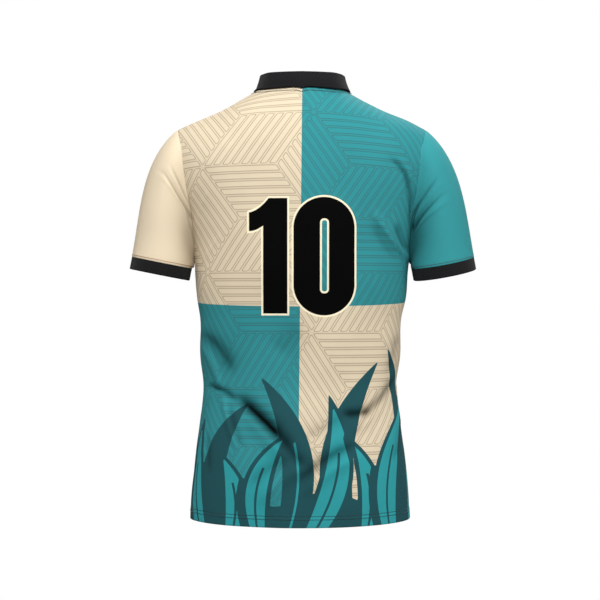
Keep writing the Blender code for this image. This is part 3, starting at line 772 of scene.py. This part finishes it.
def printFor(side):
    def paint(nodes, across, upward):
        right = across > upward * quarters["lean"] + quarters["middle"]
        out = across / quarters["halfAcross"]
        low = upward < out * out * quarters["sag"] + (quarters["level"] - quarters["sag"])
        isTeal = abs(right - low)
        line, channel = barLines(*tilingPlace(across, upward, low))
        lines = nodes.mix(isTeal, cloth["creamLine"], cloth["tealLine"])
        soft = hemPrint["soft"]
        layers = [(channel, lines), (line, lines)]
        layers += [(nodes.mark(mark).step(soft, -soft), cloth[colour])
                   for mark, colour in (("leafEdge", "darkTeal"), ("leafHeart", "midTeal"))]
        if side == 1:
            distance, edge, soft = numberDistance(across, upward), number["edge"], number["soft"]
            layers.append((distance.step(edge + soft, edge - soft), cloth["numberEdge"]))
            layers.append((distance.step(soft, -soft), cloth["number"]))
        ground = nodes.mix(isTeal, cloth["panelCream"], cloth["panelTeal"])
        for share, colour in layers:
            ground = nodes.mix(share, ground, colour)
        return ground
    return clothFinish("printedKnit_" + face[side]["name"], paint)


# Print of the hem: long curved leaves over low ground. Kind 0 is dark, 1 has a lighter heart, and
# 2 is dark with a lighter midrib.
hemPrint = {"hem": -711.0, "ground": 46.0, "groundWave": 12.0, "wave": 27.0, "border": 8.0, "taper": 0.2,
            "rib": 2.0, "ribEnd": 0.60, "wideFrom": 0.3, "shoulder": 0.8, "cover": 8.0, "veinCover": 10.0,
            "far": 50.0, "soft": 0.15}
leafRows = table("x0 z0 x1 z1 bow half kind", [
    (-196, -716, -238, -560, 22, 22, 0),
    (-150, -716, -88, -512, -30, 24, 0),
    (-20, -716, -66, -470, 34, 26, 2),
    (66, -716, 128, -446, -36, 27, 0),
    (176, -716, 148, -424, 30, 26, 0),
    (236, -716, 262, -560, -18, 22, 0),
    (-176, -722, -176, -538, -20, 25, 1),
    (-114, -722, -138, -590, 16, 25, 1),
    (-70, -722, -16, -556, -26, 25, 1),
    (18, -722, 44, -498, 28, 28, 1),
    (106, -722, 76, -566, 20, 23, 1),
    (150, -722, 214, -500, -30, 28, 1),
    (-232, -722, -210, -600, -14, 22, 1),
    (216, -722, 198, -606, 14, 22, 1),
])


def leafFields(across, upward):  # distance outside the leaves and the ground, and outside their hearts
    swell = hemPrint["groundWave"] * np.sin(across / hemPrint["wave"])
    edge = upward - (hemPrint["hem"] + hemPrint["ground"] + swell)
    hearts, veins = (np.full_like(across, hemPrint["far"]) for _ in range(2))
    for leaf in leafRows:
        t, off, long = alongLine(leaf, across, upward)
        off = np.abs(off - leaf["bow"] * arch(t))
        inside = np.clip(t, 0, 1)
        widest = hemPrint["wideFrom"] + (1 - hemPrint["wideFrom"]) * inside
        half = leaf["half"] * np.sin(math.pi * widest) ** hemPrint["shoulder"]
        slant = np.sqrt(1 + (4 * leaf["bow"] * (1 - 2 * inside) / long) ** 2)
        distance = (off - half + np.maximum(t - 1, 0) * long) / slant
        midrib = np.maximum(off - hemPrint["rib"], (t - hemPrint["ribEnd"]) * long)
        hearts = np.maximum(hearts, hemPrint["cover"] - distance)
        veins = np.maximum(veins, hemPrint["veinCover"] - distance)
        if leaf["kind"] == 1:
            heart = distance + hemPrint["border"] * (1 - hemPrint["taper"] * inside)
            hearts = np.minimum(hearts, np.maximum(heart, -midrib))
        if leaf["kind"] == 2:
            veins = np.minimum(veins, midrib)
        edge = np.minimum(edge, distance)
    return edge, np.minimum(hearts, veins)


panels = {side: faceGrid(side) for side in (1, -1)}
print("panels shaped")


def armholeLoop():  # closed armhole on the wearer's left: down the back and up the front
    parts = []
    for side in (1, -1):
        points, normals = (panels[side][key][grid["bodyRows"] :, -1][::-1] for key in ("points", "normals"))
        length = runLength(points)
        keep = slice(None) if side == 1 else slice(-2, 0, -1)
        parts.append((points[keep], normals[keep], side * length[keep] / length[-1]))
    return [np.concatenate(part) for part in zip(*parts)]


# Sleeve: direction and pull of the cloth as it leaves the armhole, from the shoulder tip (0) round
# the back or the front to the underarm (1), and its pull where it meets the cuff.
sleeveRows = table("around outX outY outZ pull cuffPull", [
    (0.00, 0.79, 0.00, -0.61, 240, 215),
    (0.22, 0.74, 0.36, -0.56, 155, 190),
    (0.50, 0.82, 0.38, -0.42, 85, 150),
    (0.80, 0.93, 0.20, -0.30, 36, 70),
    (1.00, 0.95, 0.00, -0.30, 14, 10),
])
# pitShade, pitFrom, pitFade and pitLong place a painted shade on the back of the sleeve next to the
# underarm.
sleeve = {"cuffInX": 181.6, "cuffInZ": -292.8, "cuffOutX": {"left": 281.5, "right": 286.0},
          "cuffOutZ": -273.0, "cuffHalfDeep": 60.0, "cuffTall": 20.0,
          "cuffBackDrop": {"left": 0.6, "right": 4.8}, "rows": 75, "cuffRows": 10, "cuffCloth": 1.9,
          "cuffSink": 0.315, "stitchAbove": 3.2, "underarm": 0.85,
          "pitShade": {"left": 0.26, "right": 0.50}, "pitFrom": 0.40, "pitFade": 0.45, "pitLong": 0.6,
          "halfCut": 210.0, "cuffHalfCut": 168.0, "cloth": {"left": "creamKnit", "right": "tealKnit"},
          "slot": {"left": "sleeve_cream_cloth", "right": "sleeve_teal_cloth"}}
# Creases of the sleeves: place round the sleeve, start and end as shares of its length, drift round.
creases = {"scale": 1.3, "power": 1.6, "before": 0.12, "past": 0.2, "fadeIn": 0.45, "fadeOut": 0.3,
           "calmTop": 0.03, "calmCuff": 0.1}
creaseRows = table("hand around start end turn bow width depth", [
    ("left", 0.22, 0.325, 0.00, -0.47, 0.12, 0.028, -2.5),
    ("left", 0.20, 0.37, 0.04, -0.47, 0.12, 0.034, 0.9),
    ("left", 0.31, 0.19, -0.02, -0.36, 0.01, 0.026, -2.2),
    ("left", 0.28, 0.245, 0.02, -0.37, 0.04, 0.030, 1.3),
    ("left", 0.66, 0.16, 0.02, -0.16, 0.00, 0.060, -1.6),
    ("left", -0.30, 0.40, 0.02, 0.36, -0.08, 0.036, -2.8),
    ("left", -0.38, 0.30, 0.00, 0.32, -0.04, 0.036, 2.2),
    ("left", -0.64, 0.46, 0.06, 0.16, 0.00, 0.045, -1.8),
    ("left", 1.00, 0.04, 0.85, 0.00, 0.00, 0.055, 2.6),
    ("left", -1.00, 0.04, 0.85, 0.00, 0.00, 0.055, 2.6),
    ("right", 0.32, 0.30, 0.02, -0.37, 0.05, 0.025, -2.2),
    ("right", 0.30, 0.37, 0.08, -0.41, 0.10, 0.034, 1.4),
    ("right", 0.30, 0.45, 0.06, -0.45, 0.16, 0.033, -2.7),
    ("right", 0.30, 0.52, 0.12, -0.46, 0.17, 0.038, 1.8),
    ("right", 0.62, 0.14, 0.02, -0.16, 0.00, 0.060, -1.8),
    ("right", -0.34, 0.44, 0.04, 0.34, -0.07, 0.034, -2.8),
    ("right", -0.28, 0.52, 0.10, 0.34, -0.06, 0.036, 2.2),
    ("right", -0.60, 0.40, 0.06, 0.20, 0.00, 0.045, -1.8),
    ("right", 1.00, 0.02, 0.50, 0.00, 0.00, 0.055, 1.6),
    ("right", -1.00, 0.02, 0.50, 0.00, 0.00, 0.055, 1.6),
])


def sleeveRule(around):
    get = {key: smooth(sleeveRows, key, np.abs(around)) for key in sleeveRows[0]}
    way = np.stack([get["outX"], np.sign(around) * get["outY"], get["outZ"]], axis=1)
    return unit(way), get["pull"][:, None], get["cuffPull"][:, None]


def cuffLoop(around, hand):  # the cuff's upper edge, and the way down the cuff
    inner = np.array([sleeve["cuffInX"], 0, sleeve["cuffInZ"]])
    outer = np.array([sleeve["cuffOutX"][hand], 0, sleeve["cuffOutZ"]])
    half = (outer - inner) / 2
    turn = math.pi * around
    ring = (inner + outer) / 2 + np.cos(turn)[:, None] * half
    ring[:, 1] += sleeve["cuffHalfDeep"] * np.sin(turn)
    ring[:, 2] -= sleeve["cuffBackDrop"][hand] * np.sin(turn)
    return ring, unit(np.array([half[2], 0, -half[0]]))


def seamNormals(loop, panel, around):  # shared normal at the armhole, between panel and sleeve
    along = unit(np.roll(loop, -1, axis=0) - np.roll(loop, 1, axis=0))
    own = unit(np.cross(along, sleeveRule(around)[0]))
    low = np.abs(around)[:, None] > sleeve["underarm"]
    own = own * np.where(low, np.sign(-own[:, 2:]), np.sign(own[:, :1]))
    both = unit(own + panel)
    return both, 1 / np.clip(np.sum(both * panel, axis=1, keepdims=True), 0.7, 1)


def sleeveGrid(hand):  # rings down from the armhole, then down the cuff, as on the wearer's left, and their painted shade
    way, pull, cuffPull = sleeveRule(loopAround)
    ring, down = cuffLoop(loopAround, hand)
    rows = sleeve["rows"]
    t = (np.arange(rows + 1) / rows)[:, None]
    rings = curve(t[..., None], loop, pull * way, ring, cuffPull * down)
    tall = np.linspace(seamGap, sleeve["cuffTall"], sleeve["cuffRows"] + 1)[:, None, None]
    rings = np.concatenate([rings, ring + down * tall])
    across = unit(np.roll(rings, -1, axis=1) - np.roll(rings, 1, axis=1))
    normals = unit(np.cross(np.gradient(rings, axis=0), across))
    if np.sum(normals * (rings - rings.mean(axis=1, keepdims=True)), axis=2).mean() < 0:
        normals = -normals
    around = loopAround[None, :]
    calm = ease(t / creases["calmTop"]) * ease((1 - t) / creases["calmCuff"])
    hollow = np.zeros((rows + 1, len(loopAround)))
    for crease in creaseRows:
        if crease["hand"] != hand:
            continue
        s = (t - crease["start"]) / (crease["end"] - crease["start"])
        ends = ease((s + creases["before"]) / creases["fadeIn"])
        ends = ends * ease((1 + creases["past"] - s) / creases["fadeOut"])
        off = around - crease["around"] + crease["turn"] * s - crease["bow"] * arch(np.clip(s, 0, 1))
        rise = np.exp(-(np.abs(off / crease["width"]) ** creases["power"]))
        rise = creases["scale"] * crease["depth"] * ends * rise
        # painted shade: each trough of a crease darkens the cloth by its depth
        hollow += np.maximum(-rise, 0) * folds["shade"]
        rings[: rows + 1] += normals[: rows + 1] * (rise * calm)[..., None]
    # painted shade under the arm: darker towards the underarm on the back and near the armhole
    pit = ease((around - sleeve["pitFrom"]) / sleeve["pitFade"]) * ease((1 - t) / sleeve["pitLong"])
    return rings, normals, np.clip(hollow + sleeve["pitShade"][hand] * pit, 0, 1)


loop, loopPanel, loopAround = armholeLoop()
seamWay, seamReach = seamNormals(loop, loopPanel, loopAround)
mirror = np.array([-1.0, 1.0, 1.0])
placket = {"half": 16.0, "underHalf": 14.0, "long": 150.0, "wall": 1.2, "cells": 12, "rows": 75,
           "slit": 0.8, "slitEnd": 12.0, "offPanel": 0.5, "belowTop": 1.0, "behind": 2.45}


def cutSlit(values):  # the middle column doubled, with its points a slit apart
    middle = values.shape[1] // 2
    cut = np.insert(values, middle, values[:, middle], axis=1)
    if values.shape[2:] == (3,):
        cut[:, middle : middle + 2, 0] += [-placket["slit"] / 2, placket["slit"] / 2]
    return cut


def buildPanel(side):
    points, normals, flat = (panels[side][key] for key in ("points", "normals", "flat"))
    start, count, thick = grid["bodyRows"], grid["yokeRows"] + 1, body["cloth"]
    order = np.arange(count)[::-1]
    if side == -1:
        order = np.concatenate([[count - 1], np.arange(count, len(loop)), [0]])
    seam, reach = seamWay[order], seamReach[order]
    outer = points.copy()
    seams = ((-1, seam), (0, seam * mirror))
    for edge, way in seams:
        outer[start:, edge] -= body["seamSink"] * way
    for axis, end in ((1, 0), (1, -1), (0, -1)):
        drawIn(outer, axis, end, seamGap / 2)
    inner = outer - thick * normals
    for edge, way in seams:
        inner[start:, edge] = outer[start:, edge] - thick * reach * way
    ridge = np.abs(outer[-1, :, 0]) > body["neckOut"] - 1
    along = shoulderLine(outer[-1, :, 0] - 0.5) - shoulderLine(outer[-1, :, 0] + 0.5)
    upward = unit(np.stack([along, np.zeros_like(along), np.ones_like(along)], axis=1))
    inner[-1, ridge] = outer[-1, ridge] - thick * upward[ridge]
    edge, heart = leafFields(-flat[..., 0], flat[..., 1])
    # painted shade: the "hollow" mark darkens the cloth's colour in the folds' troughs
    shade = np.clip(panels[side]["hollow"] * folds["shade"], 0, 1)
    marks = {"leafEdge": edge, "leafHeart": heart, "hollow": shade}
    leaveOut = None
    if side == -1:
        middle = outer.shape[1] // 2
        slitFoot = outer[-1, middle, 2] - placket["long"] + placket["slitEnd"]
        outer, inner, flat = cutSlit(outer), cutSlit(inner), cutSlit(flat)
        marks = {key: cutSlit(values) for key, values in marks.items()}
        leaveOut = np.zeros((outer.shape[0] - 1, outer.shape[1] - 1), bool)
        leaveOut[:, middle] = outer[:-1, middle, 2] > slitFoot
    name = face[side]["name"]
    piece = shell(name + "Cloth", outer, inner, flat, leaveOut=leaveOut, marks=marks)
    print("%s panel: %.3f square metres" % (name, clothArea(outer)))
    return dress(piece, name, printFor(side))


backCloth = buildPanel(1)
frontCloth = buildPanel(-1)


def buildSleeve(hand, flip):
    rings, normals, hollow = sleeveGrid(hand)
    last = sleeve["rows"] + 1
    outer = rings[:last].copy()
    outer[0] -= body["seamSink"] * seamWay
    inner = outer - body["cloth"] * normals[:last]
    drawIn(outer, 0, 0, seamGap / 2)
    inner[0] = outer[0] - body["cloth"] * seamReach * seamWay
    down = runLength(rings)
    around = np.broadcast_to(loopAround, down.shape)
    flat = np.stack([around * sleeve["halfCut"], -down], axis=-1)
    # the "hollow" mark carries the sleeve's painted shade
    piece = shell("sleeveCloth_" + hand, outer * flip, inner * flip, flat[:last], closed=True,
                  marks={"hollow": hollow})
    dress(piece, "sleeve_" + hand, finish[sleeve["cloth"][hand]])
    outer = rings[last:] - sleeve["cuffSink"] * normals[last:]
    inner = outer - sleeve["cuffCloth"] * normals[last:]
    flat = np.stack([around * sleeve["cuffHalfCut"], -down], axis=-1)
    cuff = shell("cuffRib_" + hand, outer * flip, inner * flip, flat[last:], closed=True)
    dress(cuff, "cuff_" + hand, finish["rib"])
    print("sleeve and cuff on the %s made" % hand)
    return {"cloth": piece, "cuff": cuff, "rings": rings * flip, "normals": normals * flip}


sleeves = {"left": buildSleeve("left", np.ones(3)), "right": buildSleeve("right", mirror)}

# Collar: stand, fold and fall, from the middle of the back (0) to its front edge (1).
collarRows = table("along foldX foldY foldZ edgeX edgeY bulge", [
    (0.00, 0, 57, 28, 0, 67.6, 2.0),
    (0.18, 32, 50, 28, 38, 55.5, 2.0),
    (0.34, 58, 31, 28, 64, 37.0, 1.0),
    (0.46, 68, 5, 26, 77, 11.5, -1.0),
    (0.57, 64, -18, 16, 81, -16.0, 0.5),
    (0.70, 53, -42, -6, 82, -43.0, 4.0),
    (0.84, 32, -61, -29, 72, -67.0, 5.0),
    (1.00, 7, -73, -46, 54, -86.0, 5.0),
])
collar = {"standCells": 12, "foldCells": 12, "fallCells": 30, "foldRadius": 3.2, "offShirt": 3.4,
          "cloth": 1.9, "rootWall": 2.0, "rootGap": 0.1, "frontGap": 0.4, "bulgeUp": 0.4, "cut": 430.0,
          "tuck": 6.5, "tuckAt": 0.47, "tuckWide": 0.11, "spread": 3.4, "drop": 1.4, "edgeIn": 2.2}


def offShoulder(x, y, lift):  # a point so far off the shirt's shoulders, and the way out there
    side = 1 if y > 0 else -1
    own = face[side]
    reach = profileTop(side, np.array([x]))[1][0]
    q = max(1 - (abs(y) / reach) ** own["over"], 0) ** (1 / own["rise"])
    level = own["turn"] + (shoulderLine(x) - own["turn"]) * q
    normal = depthAt(side, np.array([x]), np.array([level]))[1][0]
    return np.array([x, y, level]) + lift * normal, normal


def neckLoop():  # the neck's seam, from the middle of the front round by the wearer's left and the back
    first = grid["shoulderCells"]
    last = first + grid["neckCells"] + 1
    back, front = (panels[side]["points"][-1, first:last] for side in (1, -1))
    middle = len(front) // 2
    return np.concatenate([front[middle:], back[-2:0:-1], front[: middle + 1]])


def collarStation(share, hand, seam):  # one section of the collar, up the stand and down the fall
    get = {key: float(smooth(collarRows, key, share)) for key in collarRows[0]}
    near = math.exp(-(((share - collar["tuckAt"]) / collar["tuckWide"]) ** 2))
    foldX, edgeX, tuck = get["foldX"], get["edgeX"], 0
    if hand > 0:
        edgeX, tuck = edgeX - collar["edgeIn"] * near, collar["tuck"] * near
    else:
        foldX += collar["spread"] * near
    top = np.array([hand * foldX, get["foldY"], get["foldZ"] - collar["drop"] * near])
    edge, _ = offShoulder(hand * edgeX, get["edgeY"], collar["offShirt"])
    up = unit(top - seam)
    out = edge - top
    out = unit(out - np.dot(out, up) * up)
    r = collar["foldRadius"]
    low = seam - collar["rootWall"] * out
    high, start = top - r * up - r * out, top - r * up + r * out
    section = []
    for t in np.arange(collar["standCells"]) / collar["standCells"]:
        section.append(low + (high - low) * t - tuck * math.sin(math.pi * t) * out)
    for turn in math.pi * np.arange(collar["foldCells"]) / collar["foldCells"]:
        section.append(top - r * up - r * math.cos(turn) * out + r * math.sin(turn) * up)
    for t in np.linspace(0, 1, collar["fallCells"] + 1):
        lift = (get["bulge"] - tuck) * math.sin(math.pi * t)
        section.append(start + (edge - start) * t + lift * unit(out + collar["bulgeUp"] * up))
    return np.array(section)


def buildCollar():
    neck = neckLoop()
    share = runLength(neck)
    share = share / share[-1]
    shown = np.array([collarStation(abs(1 - 2 * s), 1.0 if s < 0.5 else -1.0, place)
                      for s, place in zip(share, neck)])
    shown[0, :, 0] += collar["frontGap"]
    shown[-1, :, 0] -= collar["frontGap"]
    normals = unit(np.cross(np.gradient(shown, axis=0), np.gradient(shown, axis=1)))
    fall = collar["standCells"] + collar["foldCells"]
    if np.sum(normals[:, fall] * (shown[:, fall] - shown[:, 0])) < 0:
        normals = -normals
    hidden = shown - collar["cloth"] * normals
    root = neck + np.array([0, 0, seamGap])
    inward = unit(shown[:, 0] - neck)
    hidden[:, 0] = root + collar["rootGap"] * inward
    shown[:, 0] = root + (collar["rootWall"] + collar["rootGap"]) * inward
    up = runLength(shown, 1)
    along = np.broadcast_to((share * collar["cut"])[:, None], up.shape)
    print("collar: %.4f square metres" % clothArea(shown))
    piece = shell("collarRib", shown, hidden, np.stack([along, up], axis=-1))
    return dress(piece, "collar", finish["rib"])


collarRib = buildCollar()


def placketGrid(liftOff, half):
    top = panels[-1]["points"][-1, grid["shoulderCells"] + grid["neckCells"] // 2, 2]
    x = np.linspace(-half, half, placket["cells"] + 1)
    z = np.linspace(top - placket["long"], top - placket["belowTop"], placket["rows"] + 1)
    x, z = np.meshgrid(x, z)
    y, normals = depthAt(-1, x, z)
    return np.stack([x, -y, z], axis=-1) + liftOff * normals, normals, np.stack([x, z], axis=-1)


def placketStrip(name, node, outer, normals, flat):
    piece = shell(name, outer, outer - placket["wall"] * normals, flat)
    return dress(piece, node, finish["tealKnit"])


over, overWays, overFlat = placketGrid(placket["offPanel"] + placket["wall"], placket["half"])
placketOver = placketStrip("placketOver", "placket_over", over, overWays, overFlat)
placketUnder = placketStrip("placketUnder", "placket_under",
                            *placketGrid(-placket["behind"], placket["underHalf"]))

# Buttons, with the thread through their holes and the stitched slit under them. The thread's run is
# its places along and up from its top.
button = {"radius": 5.7, "thick": 2.4, "below": (22, 70, 118), "lift": 0.5, "dish": 0.7, "rimWide": 1.1,
          "dishSlope": 0.5, "hole": 0.8, "holeOut": 1.45, "sides": 48, "holeSides": 16, "drill": 6.0,
          "soft": 0.22, "softCuts": 3, "smoothBelow": 40.0, "threadUp": 0.25,
          "threadRun": ((-1.9, -0.5), (-1.0, 0.0), (1.0, 0.0), (1.9, -0.5)), "threadLong": 3.4,
          "threadPitch": 1.8, "slitHalf": (1.3, 7.4), "slitRound": 0.6, "slitUp": 0.05, "slitSteps": 60,
          "slitLong": 0.9, "slitPitch": 1.0}


def modify(thing, kind, **settings):  # one modifier, added and applied
    added = thing.modifiers.new(kind.lower(), kind)
    give(added, **settings)
    bpy.context.view_layer.objects.active = thing
    bpy.ops.object.modifier_apply(modifier=added.name)


def carveButton():  # one button at the origin, face up: a disc with a raised rim, a dish and four holes
    bpy.ops.object.select_all(action="DESELECT")
    bpy.ops.mesh.primitive_cylinder_add(vertices=button["sides"], radius=button["radius"] * metre,
                                        depth=button["thick"] * metre)
    disc = bpy.context.active_object
    bpy.ops.object.mode_set(mode="EDIT")
    bpy.ops.mesh.select_mode(type="FACE")
    bpy.ops.mesh.select_all(action="DESELECT")
    bpy.ops.object.mode_set(mode="OBJECT")
    for polygon in disc.data.polygons:
        polygon.select = polygon.normal.z > 0.9
    bpy.ops.object.mode_set(mode="EDIT")
    bpy.ops.mesh.inset(thickness=button["rimWide"] * metre)
    bpy.ops.mesh.inset(thickness=button["dishSlope"] * metre, depth=-button["dish"] * metre)
    bpy.ops.object.mode_set(mode="OBJECT")
    out = button["holeOut"] * metre
    for x, y in ((-out, -out), (-out, out), (out, -out), (out, out)):
        bpy.ops.mesh.primitive_cylinder_add(vertices=button["holeSides"], radius=button["hole"] * metre,
                                            depth=button["drill"] * metre, location=(x, y, 0))
        drill = bpy.context.active_object
        modify(disc, "BOOLEAN", operation="DIFFERENCE", object=drill)
        bpy.data.objects.remove(drill)
    modify(disc, "BEVEL", width=button["soft"] * metre, segments=button["softCuts"], limit_method="ANGLE")
    disc.select_set(True)
    bpy.ops.object.shade_smooth_by_angle(angle=math.radians(button["smoothBelow"]))
    return disc


def sewButton(pattern, mark, below):
    z = np.array([over[-1, 0, 2] - below])
    y, normal = depthAt(-1, np.zeros(1), z)
    way = normal[0]
    base = np.array([0, -y[0], z[0]]) + (placket["offPanel"] + placket["wall"]) * way
    side = np.array([1.0, 0.0, 0.0])
    turned = np.array([side, np.cross(way, side), way])

    def line(places):  # places across, up and out of the button, on the shirt
        return np.array(places) @ turned + base, np.tile(way, (len(places), 1))

    mesh = pattern.data.copy()
    shape = np.zeros(len(mesh.vertices) * 3)
    mesh.vertices.foreach_get("co", shape)
    shape = shape.reshape(-1, 3) / metre + np.array([0, 0, button["thick"] / 2 + button["lift"]])
    mesh.vertices.foreach_set("co", (line(shape)[0] * metre).reshape(-1))
    mesh.update()
    disc = link("buttonDisc_" + mark, mesh)
    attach(disc, "root")
    dress(disc, "button_" + mark, finish["button"])
    high = button["lift"] + button["thick"] - button["dish"] + button["threadUp"]
    runs = [line([(x, along, high + up) for along, up in button["threadRun"]])
            for x in (-button["holeOut"], button["holeOut"])]
    stitchRow("buttonThread_" + mark, runs, "blackThread", button["threadLong"],
              button["threadPitch"])
    turn = np.linspace(0, 2 * math.pi, button["slitSteps"])
    across, tall = button["slitHalf"]
    tall = tall * np.sign(np.sin(turn)) * np.abs(np.sin(turn)) ** button["slitRound"]
    slit = np.stack([across * np.cos(turn), tall, np.full_like(turn, button["slitUp"])], axis=1)
    stitchRow("buttonhole_" + mark, [line(slit)], "tealThread", button["slitLong"],
              button["slitPitch"])


buttonPattern = carveButton()
for place, below in enumerate(button["below"], 1):
    sewButton(buttonPattern, str(place), below)
bpy.data.objects.remove(buttonPattern)
print("placket and buttons made")

# Rows of stitches, by their heights above the hem, how far under the collar and which placket cells.
sewing = {"hem": (13.0, 18.3), "long": 3.0, "pitch": 3.3, "cuffLong": 2.8, "cuffPitch": 3.0,
          "radius": 0.45, "collarOut": 1.055, "collarBack": 3.6, "collarOff": 0.35,
          "placketEdges": (1, -2), "placketBars": (1, 5)}


def hemLines():
    return [betweenRows(panels[side]["points"], panels[side]["normals"], height)
            for side in (1, -1) for height in sewing["hem"]]


def aboveCuff(hand):
    upward = slice(sleeve["rows"], None, -1)
    rings, normals = (sleeves[hand][key][upward] for key in ("rings", "normals"))
    lines = betweenRows(rings, normals, sleeve["stitchAbove"])
    return [np.concatenate([part, part[:1]]) for part in lines]


def underCollar():
    spots = []
    for s in np.linspace(-0.5, 0.5, 121):
        x, y = (float(smooth(collarRows, key, abs(s))) for key in ("edgeX", "edgeY"))
        x = math.copysign(x * sewing["collarOut"], s)
        spots.append(offShoulder(x, y + sewing["collarBack"], sewing["collarOff"]))
    return [np.array(part) for part in zip(*spots)]


def placketLines():
    columns = [(over[:, column], overWays[:, column]) for column in sewing["placketEdges"]]
    return columns + [(over[row, 1:-1], overWays[row, 1:-1]) for row in sewing["placketBars"]]


def boldRow(name, lines, thread, long=sewing["long"], pitch=sewing["pitch"]):
    return stitchRow(name, lines, thread, long, pitch, sewing["radius"])


hemSewing = boldRow("hemSewing", hemLines(), "darkThread")
neckSewing = boldRow("neckSewing", [underCollar()], "greyThread")
placketSewing = stitchRow("placketSewing", placketLines(), "tealThread")
cuffSewing = {
    hand: boldRow("cuffSewing_" + hand, [aboveCuff(hand)], thread,
                  sewing["cuffLong"], sewing["cuffPitch"])
    for hand, thread in (("left", "brownThread"), ("right", "greyThread"))
}
print("sewing done")

# Studio, in metres: white world, pale floor, soft lamps, and the camera behind the wearer.
studio = {"floorLevel": -1.45, "floorRadius": 1.7, "floorSides": 96, "floorColour": (0.62, 0.62, 0.62, 1.0),
          "floorRoughness": 0.9, "white": (1.0, 1.0, 1.0, 1.0), "ambient": 0.22, "aimBelow": 0.3,
          "camera": (0.002656, 3.2, -0.3453), "lens": 115.66, "sensor": 36.0}
lampRows = table("name x y z size power", [
    ("keyLamp", 0.0, 2.3, 2.05, 1.0, 116.0),
    ("leftLamp", 2.8, 1.0, 0.7, 1.4, 14.0),
    ("rightLamp", -2.8, 1.2, 0.7, 1.4, 30.0),
    ("frontLamp", -1.0, -2.2, 2.1, 1.4, 70.0),
])
bpy.ops.mesh.primitive_circle_add(vertices=studio["floorSides"], radius=studio["floorRadius"],
                                  fill_type="NGON", location=(0, 0, studio["floorLevel"]))
floor = bpy.context.active_object
floor.name = "studioFloor"
floor.data.materials.append(Finish("paleFloor", studio["floorRoughness"]).done(studio["floorColour"]))

world = bpy.data.worlds.new("whiteStudio")
bpy.context.scene.world = world
world.use_nodes = True
sky = world.node_tree.nodes["Background"]
sky.inputs["Color"].default_value = studio["white"]
ray = world.node_tree.nodes.new("ShaderNodeLightPath")
level = world.node_tree.nodes.new("ShaderNodeMapRange")
level.inputs["To Min"].default_value = studio["ambient"]
level.inputs["To Max"].default_value = 1.0
world.node_tree.links.new(ray.outputs["Is Camera Ray"], level.inputs["Value"])
world.node_tree.links.new(level.outputs[0], sky.inputs["Strength"])

for lamp in lampRows:
    light = bpy.data.lights.new(lamp["name"], "AREA")
    give(light, size=lamp["size"], energy=lamp["power"])
    holder = link(lamp["name"], light)
    holder.location = (lamp["x"], lamp["y"], lamp["z"])
    toShirt = -holder.location.copy()
    toShirt.z -= studio["aimBelow"]
    holder.rotation_euler = toShirt.to_track_quat("-Z", "Y").to_euler()

lensData = bpy.data.cameras.new("photoCamera")
give(lensData, sensor_width=studio["sensor"], lens=studio["lens"])
camera = link("photoCamera", lensData)
camera.location = studio["camera"]
camera.rotation_euler = (math.radians(90), 0, math.radians(180))
bpy.context.scene.camera = camera
bpy.context.scene.view_settings.view_transform = "Standard"

print("scene ready")
